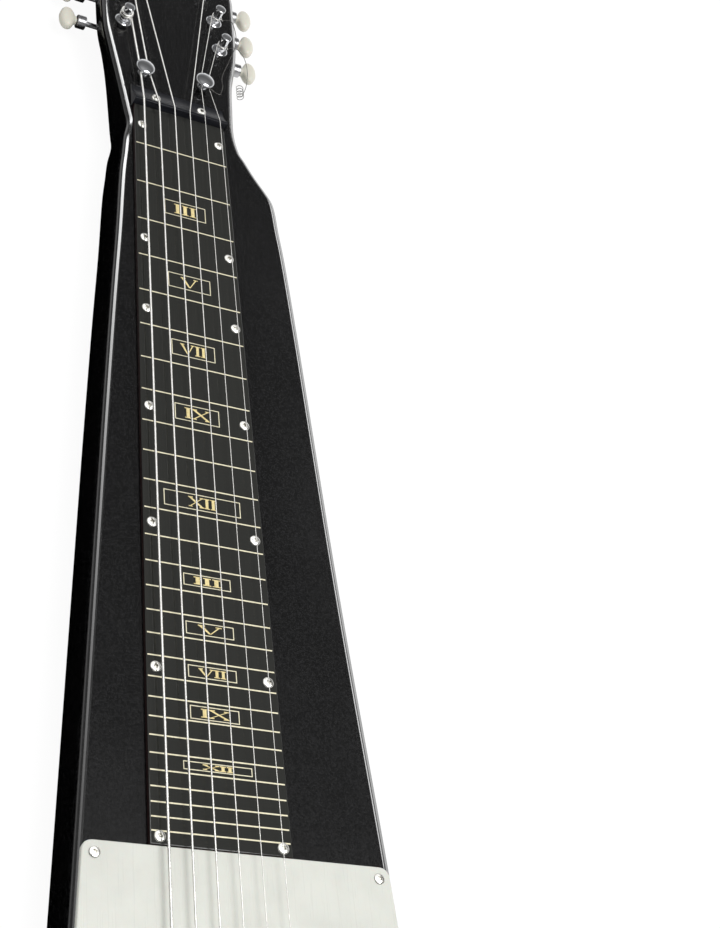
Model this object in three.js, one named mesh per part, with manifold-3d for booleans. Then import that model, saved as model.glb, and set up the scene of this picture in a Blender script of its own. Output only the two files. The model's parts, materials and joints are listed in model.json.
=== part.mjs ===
// Six-string lap steel guitar, lying on its back with the strings up.
// Millimetres. X runs along the strings from the nut (x = 0) to the tail, Y towards the thin
// strings, Z up. The whole group is then moved so that its origin is at the bottom centre.
import * as THREE from "three";
import { mergeVertices } from "three/addons/utils/BufferGeometryUtils.js";
import Module from "manifold-3d";

const wasm = await Module();
wasm.setup();

// Driving dimensions of the whole instrument
const scaleLength = 571.5;
const fretCount = 28;
const tailLength = 76.5;
const headLength = 144;
const bodyThickness = 31;
const headThickness = 15;
const rampStart = 34;
const rampFootGap = 4;
const rampSteps = 10;
const edgeRadius = 4.5;
const edgeSteps = 2;
const outlineSteps = 3;
const arcSteps = 3;
const mergeTolerance = 1e-4;
const roundingSlack = 1e-9;
const seatGap = 0.3;
const cutOverrun = 5;
const bodyReach = scaleLength + tailLength;
const face = bodyThickness;

// Half widths of the body, measured from the middle of the fretboard to the side walls
const neckHalfTreble = 38.5;
const neckHalfBass = 33.3;
const tailHalfTreble = 99;
const tailHalfBass = 82;
const tailCorner = 40;
const headHalfTreble = 45;
const headHalfBass = 46.5;
const headCorner = 22;

// Each side wall as [share of the nut-to-tail length, share of the way from neck to tail width]
const trebleSideShares = [
  [0.833, 0.911],
  [0.701, 0.817],
  [0.485, 0.651],
  [0.239, 0.504],
  [0.148, 0.443],
  [0.108, 0.404],
  [0.087, 0.388],
  [0.073, 0.362],
  [0.0617, 0.298],
  [0.046, 0.192],
  [0.0298, 0.1],
  [0.0193, 0.041],
  [-0.003, 0],
];
const bassSideShares = [
  [0.0056, 0.026],
  [0.0208, 0],
  [0.0386, 0.042],
  [0.058, 0.071],
  [0.0895, 0.119],
  [0.156, 0.184],
  [0.236, 0.276],
  [0.352, 0.398],
  [0.429, 0.475],
  [0.722, 0.765],
  [0.833, 0.88],
];
// The headstock's sides as [share of its length, share of the way from neck to head width]
const trebleHeadShares = [
  [0.17, 0.06],
  [0.28, 0.17],
  [0.345, 0.36],
  [0.45, 0.76],
  [0.56, 0.97],
  [0.7, 1],
];
const bassHeadShares = [
  [0.7, 1],
  [0.56, 0.98],
  [0.45, 0.93],
  [0.345, 0.76],
  [0.16, 0.42],
];

// Fretboard, a thin tapered plate that is screwed on
const boardHalfAtNut = 28.9;
const boardHalfAtEnd = 35.3;
const boardThickness = 2.2;
const boardBevel = 0.4;
const boardPastLastFret = 6.6;
const boardScrewInset = 4.7;
const lastFret = scaleLength * (1 - 2 ** (-fretCount / 12));
const boardEnd = lastFret + boardPastLastFret;
const boardTop = face + seatGap + boardThickness;
// Where the seven pairs of screws sit along the board, as shares of its length
const boardScrewShares = [0.0353, 0.2264, 0.3362, 0.4782, 0.6335, 0.8082, 0.9915];

// Round-head screws, the same for the board and the nut. The head's crown turns in at
// [share of its radius, share of its height]
const screwHeadRadius = 2.9;
const screwHeadHeight = 1.4;
const screwRim = 0.4;
const screwCrownShares = [0.72, 0.85];
const screwShankRadius = 1.3;
const screwLength = 13;
const screwTipLength = 2;
const screwSides = 8;

// Strings, from the thin first to the thick sixth
const stringDiameters = [0.4, 0.46, 0.66, 0.91, 1.12, 1.42];
const nutSpread = 49.1;
const saddleSpread = 58.2;
const stringHeight = 4.5;
const stringSides = 5;
const channelSides = 8;
const stringZ = boardTop + stringHeight;
const ballRadius = 2;
const ballLength = 3.4;
const ballSides = 10;
const turnsOnPost = 2.5;
const stepsPerTurn = 18;
const windingGap = 0.5;
const stringTail = 5;

// Nut, a wedge whose back runs down to the headstock
const nutPastBoard = 0.9;
const nutHalfWidth = boardHalfAtNut + nutPastBoard;
const nutDepth = 16.5;
const nutRidge = 1.6;
const nutToeHeight = 0.9;
const nutSteps = 8;
const nutBelowString = 0.3;
const nutScrewSetback = 8.6;
const nutScrewHalfSpacing = 14.7;
const nutSeatHeight = 2.2;

// String retainers on the headstock, one for each outer pair
const retainerTrebleShares = [0.236, 0.384];
const retainerBassShares = [0.208, 0.471];
const retainerCapRadius = 6;
const retainerCapEdge = 1;
const retainerCapHeight = 2.8;
const retainerCrownShares = [0.75, 0.6];
const retainerUnder = 4.8;
const retainerStemRadius = 1.8;
const retainerCollarRadius = 3.2;
const retainerCollarHeight = 1.6;
const retainerCollarEdgeShare = 0.6;
const retainerShank = 9;
const retainedHeight = 3.6;
const retainerSides = 12;

// Tuning machines, three on each side, on a plate under the headstock
const postEndMargin = 22;
const postSpacing = 25;
const postInsets = [13.5, 16, 19.5];
const postRadius = 3;
const postWaistRadius = 2.7;
const postCapRadius = 3.3;
const postCapHeight = 1.2;
const postCapEdgeShares = [0.8, 0.3];
const postCapTopShare = 0.7;
const postAboveFace = 12;
const postBoreRadius = 3.4;
const postArrival = 4.2;
const postWaistShares = [0.5, 0.6];
const postHoleRadius = 0.8;
const postSides = 10;
const postHoleSides = 6;
const gearTeeth = 14;
const gearRadius = 6.5;
const gearRootRadius = 5.4;
const gearThickness = 4;
const gearScrewRadius = 2.4;
const gearScrewHeight = 1.2;
const wormRadius = 2.6;
const wormRootRadius = 1.9;
const wormLength = 8;
const wormThreads = 3;
const wormCrestShares = [0.35, 0.65];
const meshGap = 0.35;
const shaftRadius = 1.6;
const shaftSides = 8;
const machinePlateThickness = 1.2;
const machinePlateHalfWidth = 9;
const machinePlateMargin = 10;
const lugThickness = 1.4;
const lugHalfWidth = 3.6;
const lugDrop = 6.2;
const lugBoreGap = 0.25;
const collarFromHead = 4;
const collarLength = 5.5;
const collarRadius = 4.2;
const buttonLength = 11;
const buttonHalfLength = 8.5;
const buttonHalfThickness = 4;
const buttonNeckRadius = 2.8;
const buttonNeckLength = 1.5;
const buttonBevel = 1.2;
// Half of a button's outline: two curves, each as its two handles and its end, in
// [share of the half length, share of the flare past the neck]
const buttonSideShares = [
  [0.8, 0],
  [1, 0.3],
  [1, 0.55],
];
const buttonCrownShares = [
  [1, 0.965],
  [0.5, 1],
  [0, 1],
];
const machinesPerSide = stringDiameters.length / 2;
const machineRow = (machinesPerSide - 1) * postSpacing;
const machinePlateEnd = -headLength + postEndMargin + machineRow + machinePlateMargin;
const rampEnd = machinePlateEnd + rampFootGap;
const headBack = face - headThickness;
const machinePlateTop = headBack - seatGap;
const machinePlateBottom = machinePlateTop - machinePlateThickness;
const wormZ = machinePlateBottom - meshGap - wormRadius;
const gearTop = wormZ + gearThickness / 2;
const wormOffset = gearRadius + wormRadius + meshGap;

// Control plate that covers the tail end of the face
const plateGapToBoard = 0.4;
const plateInset = 3.4;
const plateThickness = 2.2;
const plateChamfer = 0.5;
const plateCornerRadius = 6;
const plateScrewRadius = 1.6;
const plateScrewInset = 6;
const plateScrewSides = 8;
const plateStart = boardEnd + plateGapToBoard;
const plateTop = face + seatGap + plateThickness;

// Bridge
const bridgeFront = 15;
const bridgeBack = 22;
const bridgeFloor = 2;
const bridgeWall = 3;
const bridgeWallHeight = 8.4;
const bridgeCorner = 4;
const bridgeWindowGap = 0.6;
const anchorHeight = 4.6;
const anchorHoleGap = 0.35;
const saddleBelowString = 0.3;
const saddlePastStrings = 4.5;
const saddleHalfLength = saddleSpread / 2 + saddlePastStrings;
const bridgePastSaddle = 4.4;
const bridgeHalfWidth = saddleHalfLength + bridgePastSaddle;
const cheekThickness = 2;
const cheekHalfDepth = 5;
const cheekHeight = 6;
const bridgeScrewRadius = 1.8;
const bridgeScrewInset = 5;

// Pickup, under the strings in front of the bridge
const pickupToSaddle = 40;
const pickupPastStrings = 13.9;
const pickupHalfLength = saddleSpread / 2 + pickupPastStrings;
const pickupHalfWidth = 11.5;
const pickupAbovePlate = 1.8;
const pickupDepth = 15;
const pickupWall = 1.3;
const pickupCorner = 6;
const pickupWindowGap = 0.6;
const poleRadius = 2.4;
const poleHoleGap = 0.35;
const poleProud = 0.25;
const poleSides = 8;
const magnetHalfWidth = 3.2;
const magnetHeight = 3.2;
const magnetPastPoles = 4;
const coilHeight = 7;
const coilInnerGap = 0.5;
const coilWinding = 4.6;

// Controls
const potRadius = 8.2;
const potHeight = 9;
const bushRadius = 4.6;
const bushRise = 3;
const bushInCasing = 1;
const potNutSides = 6;
const potSides = 16;
const potNutRadius = 6;
const potNutHeight = 1.8;
const shaftBoreGap = 0.3;
const potShaftRadius = 3;
const potShaftRise = 12;
const potShaftDepth = 6;
const knobRadius = 9.5;
const knobHeight = 14;
const knobClearance = 1;
const knobRecessRadius = 7.2;
const knobRecessDepth = 3.4;
const knobCrown = 2.4;
const knobCrownShares = [0.6, 0.25];
const knobNotchStartShare = 0.45;
const knobWaist = 0.8;
const knobNotchWidth = 1.2;
const knobNotchDepth = 0.8;
const knobSides = 20;
const volumeToSaddle = 62;
const toneToSaddle = 20;
const controlFromSide = 37;
const controlY = tailHalfTreble - controlFromSide;
const cavityEndMargin = 8.8;
const cavitySideMargin = 12.8;
const cavityFloor = 7;
const cavityHalfX = (volumeToSaddle - toneToSaddle) / 2 + potRadius + cavityEndMargin;
const cavityHalfY = potRadius + cavitySideMargin;
const cavityCorner = 10;
const pickupRoutGap = 2;
const pickupRoutExtra = 3;
const wireChannelHalf = 5;
const wireChannelDepth = 12;

// Output jack, sunk in a round recess in the tail end
const jackFromControls = 17;
const jackY = controlY - jackFromControls;
const jackFlangeRadius = 9.8;
const jackFlangeThickness = 1.6;
const jackSunk = 0.4;
const jackRecess = seatGap + jackFlangeThickness + jackSunk;
const jackBodyRadius = 8;
const jackBodyLength = 24;
const jackBoreRadius = 3.45;
const jackBoreDepth = 21;
const jackPocketGap = 0.4;
const jackSides = 16;
const wireHoleRadius = 4;

// Finishes
const finishes = {
  blackLacquer: { color: 0x0b0b0c, roughness: 0.25, metalness: 0 },
  blackBoard: { color: 0x101011, roughness: 0.12, metalness: 0 },
  blackPlastic: { color: 0x141416, roughness: 0.35, metalness: 0 },
  creamPlastic: { color: 0xe6e4da, roughness: 0.4, metalness: 0 },
  chrome: { color: 0xd8dadc, roughness: 0.12, metalness: 1 },
  steel: { color: 0xb9bcc0, roughness: 0.3, metalness: 1 },
  brass: { color: 0xc2a25a, roughness: 0.35, metalness: 1 },
  copper: { color: 0xa8582e, roughness: 0.4, metalness: 1 },
  magnet: { color: 0x55565a, roughness: 0.6, metalness: 0.6 },
};
const materials = Object.fromEntries(
  Object.entries(finishes).map(([name, look]) => [name, new THREE.MeshStandardMaterial(look)]),
);

const guitar = new THREE.Group();

// Solids and meshes

// A closed geometry as a solid, with its doubled vertices merged and no flat triangles.
function solid(geometry) {
  const bare = geometry.index ? geometry.toNonIndexed() : geometry.clone();
  bare.deleteAttribute("normal");
  bare.deleteAttribute("uv");
  const merged = mergeVertices(bare, mergeTolerance);
  const corners = [];
  for (let i = 0; i < merged.index.count; i += 3) {
    const [a, b, c] = [0, 1, 2].map((k) => merged.index.getX(i + k));
    if (a !== b && b !== c && c !== a) corners.push(a, b, c);
  }
  return new wasm.Manifold(
    new wasm.Mesh({
      numProp: 3,
      vertProperties: new Float32Array(merged.attributes.position.array),
      triVerts: new Uint32Array(corners),
    }),
  );
}

function geometryOf(made) {
  const mesh = made.getMesh();
  const geometry = new THREE.BufferGeometry();
  geometry.setAttribute("position", new THREE.BufferAttribute(mesh.vertProperties, 3));
  geometry.setIndex(new THREE.BufferAttribute(mesh.triVerts, 1));
  const flat = geometry.toNonIndexed();
  flat.computeVertexNormals();
  return flat;
}

function addPiece(name, made, material) {
  const mesh = new THREE.Mesh(geometryOf(made), material);
  mesh.name = name;
  guitar.add(mesh);
}

// An outline drawn in X and Y, raised from z = bottom to z = top.
function raised(shape, bottom, top) {
  const geometry = new THREE.ExtrudeGeometry(shape, {
    depth: top - bottom,
    bevelEnabled: false,
    curveSegments: arcSteps,
  });
  geometry.translate(0, 0, bottom);
  return solid(geometry);
}

// The same with its edges eased by a bevel, inside the outline and the two levels.
function eased(shape, bottom, top, bevel, segments) {
  const geometry = new THREE.ExtrudeGeometry(shape, {
    depth: top - bottom - 2 * bevel,
    bevelEnabled: true,
    bevelThickness: bevel,
    bevelSize: bevel,
    bevelOffset: -bevel,
    bevelSegments: segments,
    curveSegments: arcSteps,
  });
  geometry.translate(0, 0, bottom + bevel);
  return solid(geometry);
}

// An upright round peg.
function peg(radius, x, y, bottom, top, sides) {
  const geometry = new THREE.CylinderGeometry(radius, radius, top - bottom, sides);
  geometry.rotateX(Math.PI / 2);
  geometry.translate(x, y, (bottom + top) / 2);
  return solid(geometry);
}

function block(x0, x1, y0, y1, z0, z1) {
  const geometry = new THREE.BoxGeometry(x1 - x0, y1 - y0, z1 - z0);
  geometry.translate((x0 + x1) / 2, (y0 + y1) / 2, (z0 + z1) / 2);
  return solid(geometry);
}

// A turned piece about the Z axis, from [radius, height] pairs that start and end on the axis.
function turned(profile, sides) {
  const points = profile.map(([radius, height]) => new THREE.Vector2(radius, height));
  const geometry = new THREE.LatheGeometry(points, sides);
  geometry.rotateX(Math.PI / 2);
  return geometry;
}

function turnedUpright(profile, sides, x, y, z) {
  const geometry = turned(profile, sides);
  geometry.translate(x, y, z);
  return solid(geometry);
}

function roundedBox(x0, x1, y0, y1, radius) {
  const shape = new THREE.Shape();
  shape.moveTo(x0 + radius, y0);
  shape.lineTo(x1 - radius, y0);
  shape.absarc(x1 - radius, y0 + radius, radius, -Math.PI / 2, 0);
  shape.lineTo(x1, y1 - radius);
  shape.absarc(x1 - radius, y1 - radius, radius, 0, Math.PI / 2);
  shape.lineTo(x0 + radius, y1);
  shape.absarc(x0 + radius, y1 - radius, radius, Math.PI / 2, Math.PI);
  shape.lineTo(x0, y0 + radius);
  shape.absarc(x0 + radius, y0 + radius, radius, Math.PI, 1.5 * Math.PI);
  return shape;
}

// A path through given points, one step of a tube for each, so that bends stay where they are.
class PointPath extends THREE.Curve {
  constructor(points) {
    super();
    this.points = points;
  }
  getUtoTmapping(u) {
    return u;
  }
  getPoint(t) {
    const last = this.points.length - 1;
    const place = Math.min(Math.max(t, 0), 1) * last;
    const from = Math.min(Math.floor(place + roundingSlack), last);
    const to = Math.min(from + 1, last);
    return this.points[from].clone().lerp(this.points[to], place - from);
  }
  getTangent(t) {
    const last = this.points.length - 1;
    const here = Math.round(t * last);
    const before = this.points[Math.max(here - 1, 0)];
    const at = this.points[here];
    const after = this.points[Math.min(here + 1, last)];
    const arriving = at.clone().sub(before).normalize();
    const leaving = after.clone().sub(at).normalize();
    return arriving.add(leaving).normalize();
  }
}

function tube(points, radius, sides) {
  const section = new THREE.Shape();
  for (let i = 0; i < sides; i++) {
    const angle = (2 * Math.PI * i) / sides;
    const corner = [radius * Math.cos(angle), radius * Math.sin(angle)];
    if (i === 0) section.moveTo(...corner);
    else section.lineTo(...corner);
  }
  const geometry = new THREE.ExtrudeGeometry(section, {
    steps: points.length - 1,
    bevelEnabled: false,
    extrudePath: new PointPath(points),
  });
  return solid(geometry);
}

// The outline of the body

function sidePoint(reach, neck, wide, side, [along, across]) {
  return new THREE.Vector2(reach * along, side * (neck + (wide - neck) * across));
}

function bodyOutline() {
  const shape = new THREE.Shape();
  const trebleCorner = tailHalfTreble - tailCorner;
  const bassCorner = tailHalfBass - tailCorner;
  const cornerX = bodyReach - tailCorner;
  shape.moveTo(bodyReach, -bassCorner);
  shape.lineTo(bodyReach, trebleCorner);
  shape.absarc(cornerX, trebleCorner, tailCorner, 0, Math.PI / 2);
  const treble = trebleSideShares
    .map((share) => sidePoint(bodyReach, neckHalfTreble, tailHalfTreble, 1, share))
    .concat(
      trebleHeadShares.map((share) =>
        sidePoint(-headLength, neckHalfTreble, headHalfTreble, 1, share),
      ),
    );
  const headCornerX = -headLength + headCorner;
  treble.push(new THREE.Vector2(headCornerX, headHalfTreble));
  shape.splineThru(treble);
  shape.absarc(headCornerX, headHalfTreble - headCorner, headCorner, Math.PI / 2, Math.PI);
  shape.lineTo(-headLength, -headHalfBass + headCorner);
  shape.absarc(headCornerX, -headHalfBass + headCorner, headCorner, Math.PI, 1.5 * Math.PI);
  const bass = bassHeadShares
    .map((share) => sidePoint(-headLength, neckHalfBass, headHalfBass, -1, share))
    .concat(
      bassSideShares.map((share) =>
        sidePoint(bodyReach, neckHalfBass, tailHalfBass, -1, share),
      ),
    );
  bass.push(new THREE.Vector2(cornerX, -tailHalfBass));
  shape.splineThru(bass);
  shape.absarc(cornerX, -bassCorner, tailCorner, -Math.PI / 2, 0);
  return shape;
}

// The outline's points, drawn in by an inset along each point's normal.
function insetPoints(shape, inset) {
  const points = shape.getPoints(outlineSteps);
  if (points[0].distanceTo(points.at(-1)) < mergeTolerance) points.pop();
  return points.map((point, i) => {
    const before = points.at(i - 1);
    const after = points[(i + 1) % points.length];
    const along = after.clone().sub(before).normalize();
    return new THREE.Vector2(point.x - along.y * inset, point.y + along.x * inset);
  });
}

// The inset outline's Y at a given X, on the treble side (1) or the bass side (-1).
function insetY(points, x, side) {
  const own = points.filter((point) => point.y * side > 0).sort((a, b) => a.x - b.x);
  const next = own.findIndex((point) => point.x > x);
  const [low, high] = [own[next - 1], own[next]];
  return low.y + ((high.y - low.y) * (x - low.x)) / (high.x - low.x);
}

const outline = bodyOutline();

// Side view of the body: full depth, then a long ramp up to the thin headstock.
function sideProfile() {
  const shape = new THREE.Shape();
  shape.moveTo(bodyReach + cutOverrun, -cutOverrun);
  shape.lineTo(bodyReach + cutOverrun, face + cutOverrun);
  shape.lineTo(-headLength - cutOverrun, face + cutOverrun);
  shape.lineTo(-headLength - cutOverrun, headBack);
  for (let i = 0; i <= rampSteps; i++) {
    const share = i / rampSteps;
    const rise = (1 + Math.cos(Math.PI * share)) / 2;
    shape.lineTo(rampEnd + (rampStart - rampEnd) * share, headBack * rise);
  }
  shape.lineTo(rampStart, -cutOverrun);
  return shape;
}

// Places along the strings

function stringY(index, x) {
  const half = nutSpread / 2 + ((saddleSpread - nutSpread) / 2) * (x / scaleLength);
  return half - (2 * half * index) / (stringDiameters.length - 1);
}

function boardHalf(x) {
  return boardHalfAtNut + (boardHalfAtEnd - boardHalfAtNut) * (x / boardEnd);
}

const boardScrews = boardScrewShares.flatMap((share) => {
  const x = share * boardEnd;
  return [-1, 1].map((side) => ({ x, y: side * (boardHalf(x) - boardScrewInset) }));
});
const nutScrews = [-1, 1].map((side) => ({ x: -nutScrewSetback, y: side * nutScrewHalfSpacing }));
const nutSeat = face + nutSeatHeight;
function headHalf(side) {
  return side > 0 ? headHalfTreble : headHalfBass;
}
const machines = stringDiameters.map((_, index) => {
  const side = index < machinesPerSide ? 1 : -1;
  const place = Math.min(index, stringDiameters.length - 1 - index);
  return {
    number: index + 1,
    side,
    x: -headLength + postEndMargin + machineRow - place * postSpacing,
    y: side * (headHalf(side) - postInsets[place]),
    collar: headHalf(side) + collarFromHead,
  };
});
const [retainerTreble, retainerBass] = [
  { x: -headLength * retainerTrebleShares[0], y: headHalfTreble * retainerTrebleShares[1] },
  { x: -headLength * retainerBassShares[0], y: -headHalfBass * retainerBassShares[1] },
];
const pickupX = scaleLength - pickupToSaddle;
const controls = [
  { name: "volume", x: scaleLength - volumeToSaddle },
  { name: "tone", x: scaleLength - toneToSaddle },
];
const cavityX = (controls[0].x + controls[1].x) / 2;
const jackZ = bodyThickness / 2;

// Body

function body() {
  const round = eased(outline, 0, bodyThickness, edgeRadius, edgeSteps);
  const profile = new THREE.ExtrudeGeometry(sideProfile(), {
    depth: 2 * (tailHalfTreble + tailHalfBass),
    bevelEnabled: false,
  });
  profile.rotateX(Math.PI / 2);
  profile.translate(0, tailHalfTreble + tailHalfBass, 0);
  let made = round.intersect(solid(profile));
  const cutTop = face + cutOverrun;
  const cavity = roundedBox(
    cavityX - cavityHalfX,
    cavityX + cavityHalfX,
    controlY - cavityHalfY,
    controlY + cavityHalfY,
    cavityCorner,
  );
  made = made.subtract(raised(cavity, cavityFloor, cutTop));
  const rout = roundedBox(
    pickupX - pickupHalfWidth - pickupRoutGap,
    pickupX + pickupHalfWidth + pickupRoutGap,
    -pickupHalfLength - pickupRoutGap,
    pickupHalfLength + pickupRoutGap,
    pickupCorner + pickupRoutGap,
  );
  made = made.subtract(raised(rout, face - pickupDepth - pickupRoutExtra, cutTop));
  made = made.subtract(
    block(
      pickupX - wireChannelHalf,
      pickupX + wireChannelHalf,
      0,
      controlY,
      face - wireChannelDepth,
      cutTop,
    ),
  );
  const pocketRadius = jackBodyRadius + jackPocketGap;
  const pocket = turned(
    [
      [0, -jackBodyLength - cutOverrun],
      [pocketRadius, -jackBodyLength - cutOverrun],
      [pocketRadius, -jackRecess],
      [jackFlangeRadius + jackPocketGap, -jackRecess],
      [jackFlangeRadius + jackPocketGap, cutOverrun],
      [0, cutOverrun],
    ],
    jackSides,
  );
  pocket.rotateY(Math.PI / 2);
  pocket.translate(bodyReach, jackY, jackZ);
  const wireHole = turned(
    [
      [0, cavityX - bodyReach],
      [wireHoleRadius, cavityX - bodyReach],
      [wireHoleRadius, 0],
      [0, 0],
    ],
    screwSides,
  );
  wireHole.rotateY(Math.PI / 2);
  wireHole.translate(bodyReach, jackY, jackZ);
  made = made.subtract(solid(pocket)).subtract(solid(wireHole));
  const holeRadius = screwShankRadius + seatGap;
  for (const { x, y } of boardScrews) {
    made = made.subtract(
      peg(holeRadius, x, y, boardTop - screwLength - seatGap, cutTop, screwSides),
    );
  }
  for (const { x, y } of nutScrews) {
    made = made.subtract(
      peg(holeRadius, x, y, nutSeat - screwLength - seatGap, cutTop, screwSides),
    );
  }
  for (const { x, y } of [retainerTreble, retainerBass]) {
    made = made.subtract(
      peg(
        retainerStemRadius + seatGap,
        x,
        y,
        face - retainerShank - seatGap,
        cutTop,
        screwSides,
      ),
    );
  }
  for (const { x, y } of machines) {
    made = made.subtract(peg(postBoreRadius, x, y, -cutOverrun, cutTop, postSides));
  }
  return made;
}
addPiece("body", body(), materials.blackLacquer);

// Fretboard and its screws

function fretboard() {
  const shape = new THREE.Shape();
  shape.moveTo(seatGap, -boardHalf(0));
  shape.lineTo(boardEnd, -boardHalf(boardEnd));
  shape.lineTo(boardEnd, boardHalf(boardEnd));
  shape.lineTo(seatGap, boardHalf(0));
  let made = eased(shape, face + seatGap, boardTop, boardBevel, 1);
  for (const { x, y } of boardScrews) {
    made = made.subtract(
      peg(screwShankRadius + seatGap, x, y, face - cutOverrun, boardTop + cutOverrun, screwSides),
    );
  }
  return made;
}
addPiece("fretboard", fretboard(), materials.blackBoard);

// A round-head screw whose head sits on z = seat.
function screw(x, y, seat) {
  return turnedUpright(
    [
      [0, -screwLength],
      [screwShankRadius, screwTipLength - screwLength],
      [screwShankRadius, 0],
      [screwHeadRadius, 0],
      [screwHeadRadius, screwRim],
      [screwHeadRadius * screwCrownShares[0], screwHeadHeight * screwCrownShares[1]],
      [0, screwHeadHeight],
    ],
    screwSides,
    x,
    y,
    seat,
  );
}
boardScrews.forEach(({ x, y }, index) => {
  addPiece("fretboard_screw_" + (index + 1), screw(x, y, boardTop + seatGap), materials.chrome);
});

// Strings

// The string's plan point where it meets its winding, coming from a place on one side of the post.
function tangentPoint(from, post, radius) {
  const across = new THREE.Vector2(post.x - from.x, post.y - from.y);
  const reach = across.length();
  const angle = across.angle() + post.side * Math.asin(radius / reach);
  const straight = Math.sqrt(reach * reach - radius * radius);
  return new THREE.Vector2(
    from.x + straight * Math.cos(angle),
    from.y + straight * Math.sin(angle),
  );
}

// Where a retained string passes its retainer, or nothing for the middle pair.
function retainerPass(index, radius) {
  const clear = retainerStemRadius + radius + seatGap;
  const passes = [
    [retainerTreble, 1],
    [retainerTreble, -1],
    null,
    null,
    [retainerBass, 1],
    [retainerBass, -1],
  ];
  if (!passes[index]) return null;
  const [retainer, side] = passes[index];
  return new THREE.Vector2(retainer.x, retainer.y + side * clear);
}

function stringPoints(index) {
  const radius = stringDiameters[index] / 2;
  const machine = machines[index];
  const anchorX = scaleLength + bridgeBack + seatGap;
  const points = [
    new THREE.Vector3(anchorX + ballLength / 2, stringY(index, anchorX), face + anchorHeight),
    new THREE.Vector3(
      scaleLength + bridgeBack - bridgeWall,
      stringY(index, scaleLength + bridgeBack),
      face + anchorHeight,
    ),
    new THREE.Vector3(scaleLength, stringY(index, scaleLength), stringZ),
    new THREE.Vector3(-nutRidge / 2, stringY(index, 0), stringZ),
  ];
  const pass = retainerPass(index, radius);
  let from = new THREE.Vector2(-nutRidge / 2, stringY(index, 0));
  if (pass) {
    points.push(new THREE.Vector3(pass.x, pass.y, face + retainedHeight));
    from = pass;
  }
  const winding = postWaistRadius + seatGap + radius;
  const meet = tangentPoint(from, machine, winding);
  const arrival = face + postArrival;
  const start = Math.atan2(meet.y - machine.y, meet.x - machine.x);
  const pitch = stringDiameters[index] + windingGap;
  const steps = Math.round(turnsOnPost * stepsPerTurn);
  for (let i = 0; i <= steps; i++) {
    const turns = i / stepsPerTurn;
    const angle = start - machine.side * 2 * Math.PI * turns;
    points.push(
      new THREE.Vector3(
        machine.x + winding * Math.cos(angle),
        machine.y + winding * Math.sin(angle),
        arrival + pitch * turns,
      ),
    );
  }
  const last = points.at(-1);
  const leaving = last.clone().sub(points.at(-2)).normalize();
  points.push(last.clone().addScaledVector(leaving, stringTail));
  return points;
}

// The least gap between turns of a winding, measured between its points.
function leastGap(points, diameter) {
  const near = stepsPerTurn / 2;
  let least = Infinity;
  for (let i = 0; i < points.length; i++) {
    for (let j = i + near; j < points.length; j++) {
      least = Math.min(least, points[i].distanceTo(points[j]) - diameter);
    }
  }
  return least;
}

stringDiameters.forEach((diameter, index) => {
  const points = stringPoints(index);
  const gap = leastGap(points.slice(-turnsOnPost * stepsPerTurn - 2), diameter);
  console.log("string " + (index + 1) + " least gap between turns " + gap.toFixed(2));
  const wire = tube(points, diameter / 2, stringSides);
  const ball = turned(
    [
      [0, -ballLength / 2],
      [ballRadius, -ballLength / 2],
      [ballRadius, ballLength / 2],
      [0, ballLength / 2],
    ],
    ballSides,
  );
  ball.rotateY(Math.PI / 2);
  ball.translate(
    scaleLength + bridgeBack + seatGap + ballLength / 2,
    points[0].y,
    points[0].z,
  );
  addPiece("string_" + (index + 1), wire.add(solid(ball)), materials.steel);
});

// The room that each string needs where it passes through or over another piece. Its points
// count from 0: its ball, the anchor wall, the saddle, the nut, then what it passes next.
function stringChannels(from, to) {
  return stringDiameters.map((diameter, index) => {
    const points = stringPoints(index).slice(from, to);
    return tube(points, diameter / 2 + seatGap, channelSides);
  });
}

// Nut and its screws

function nut() {
  const top = boardTop + stringHeight - nutBelowString;
  const shape = new THREE.Shape();
  shape.moveTo(0, face + seatGap);
  shape.lineTo(0, top);
  shape.lineTo(-nutRidge, top);
  for (let i = 1; i <= nutSteps; i++) {
    const share = i / nutSteps;
    const fall = (1 - share) ** 2;
    const toe = face + nutToeHeight;
    shape.lineTo(-nutRidge - (nutDepth - nutRidge) * share, toe + (top - toe) * fall);
  }
  shape.lineTo(-nutDepth, face + seatGap);
  const geometry = new THREE.ExtrudeGeometry(shape, {
    depth: 2 * nutHalfWidth,
    bevelEnabled: false,
  });
  geometry.rotateX(Math.PI / 2);
  geometry.translate(0, nutHalfWidth, 0);
  let made = solid(geometry);
  for (const channel of stringChannels(2, 5)) made = made.subtract(channel);
  for (const { x, y } of nutScrews) {
    made = made.subtract(
      peg(screwShankRadius + seatGap, x, y, face - cutOverrun, top + cutOverrun, screwSides),
    );
    made = made.subtract(
      peg(screwHeadRadius + seatGap, x, y, nutSeat - seatGap, top + cutOverrun, postSides),
    );
  }
  return made;
}
addPiece("nut", nut(), materials.blackPlastic);
nutScrews.forEach(({ x, y }, index) => {
  addPiece(["nut_screw_bass", "nut_screw_treble"][index], screw(x, y, nutSeat), materials.chrome);
});

// String retainers

function retainer({ x, y }) {
  const under = retainerUnder;
  const rim = under + retainerCapEdge;
  const crown = retainerCapHeight - retainerCapEdge;
  return turnedUpright(
    [
      [0, -retainerShank],
      [retainerStemRadius, -retainerShank + retainerStemRadius],
      [retainerStemRadius, seatGap],
      [retainerCollarRadius, seatGap],
      [retainerCollarRadius, retainerCollarHeight * retainerCollarEdgeShare],
      [retainerStemRadius, retainerCollarHeight],
      [retainerStemRadius, under],
      [retainerCapRadius, under],
      [retainerCapRadius, rim],
      [retainerCapRadius * retainerCrownShares[0], rim + crown * retainerCrownShares[1]],
      [0, under + retainerCapHeight],
    ],
    retainerSides,
    x,
    y,
    face,
  );
}
addPiece("string_retainer_treble", retainer(retainerTreble), materials.chrome);
addPiece("string_retainer_bass", retainer(retainerBass), materials.chrome);

// Control plate

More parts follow.
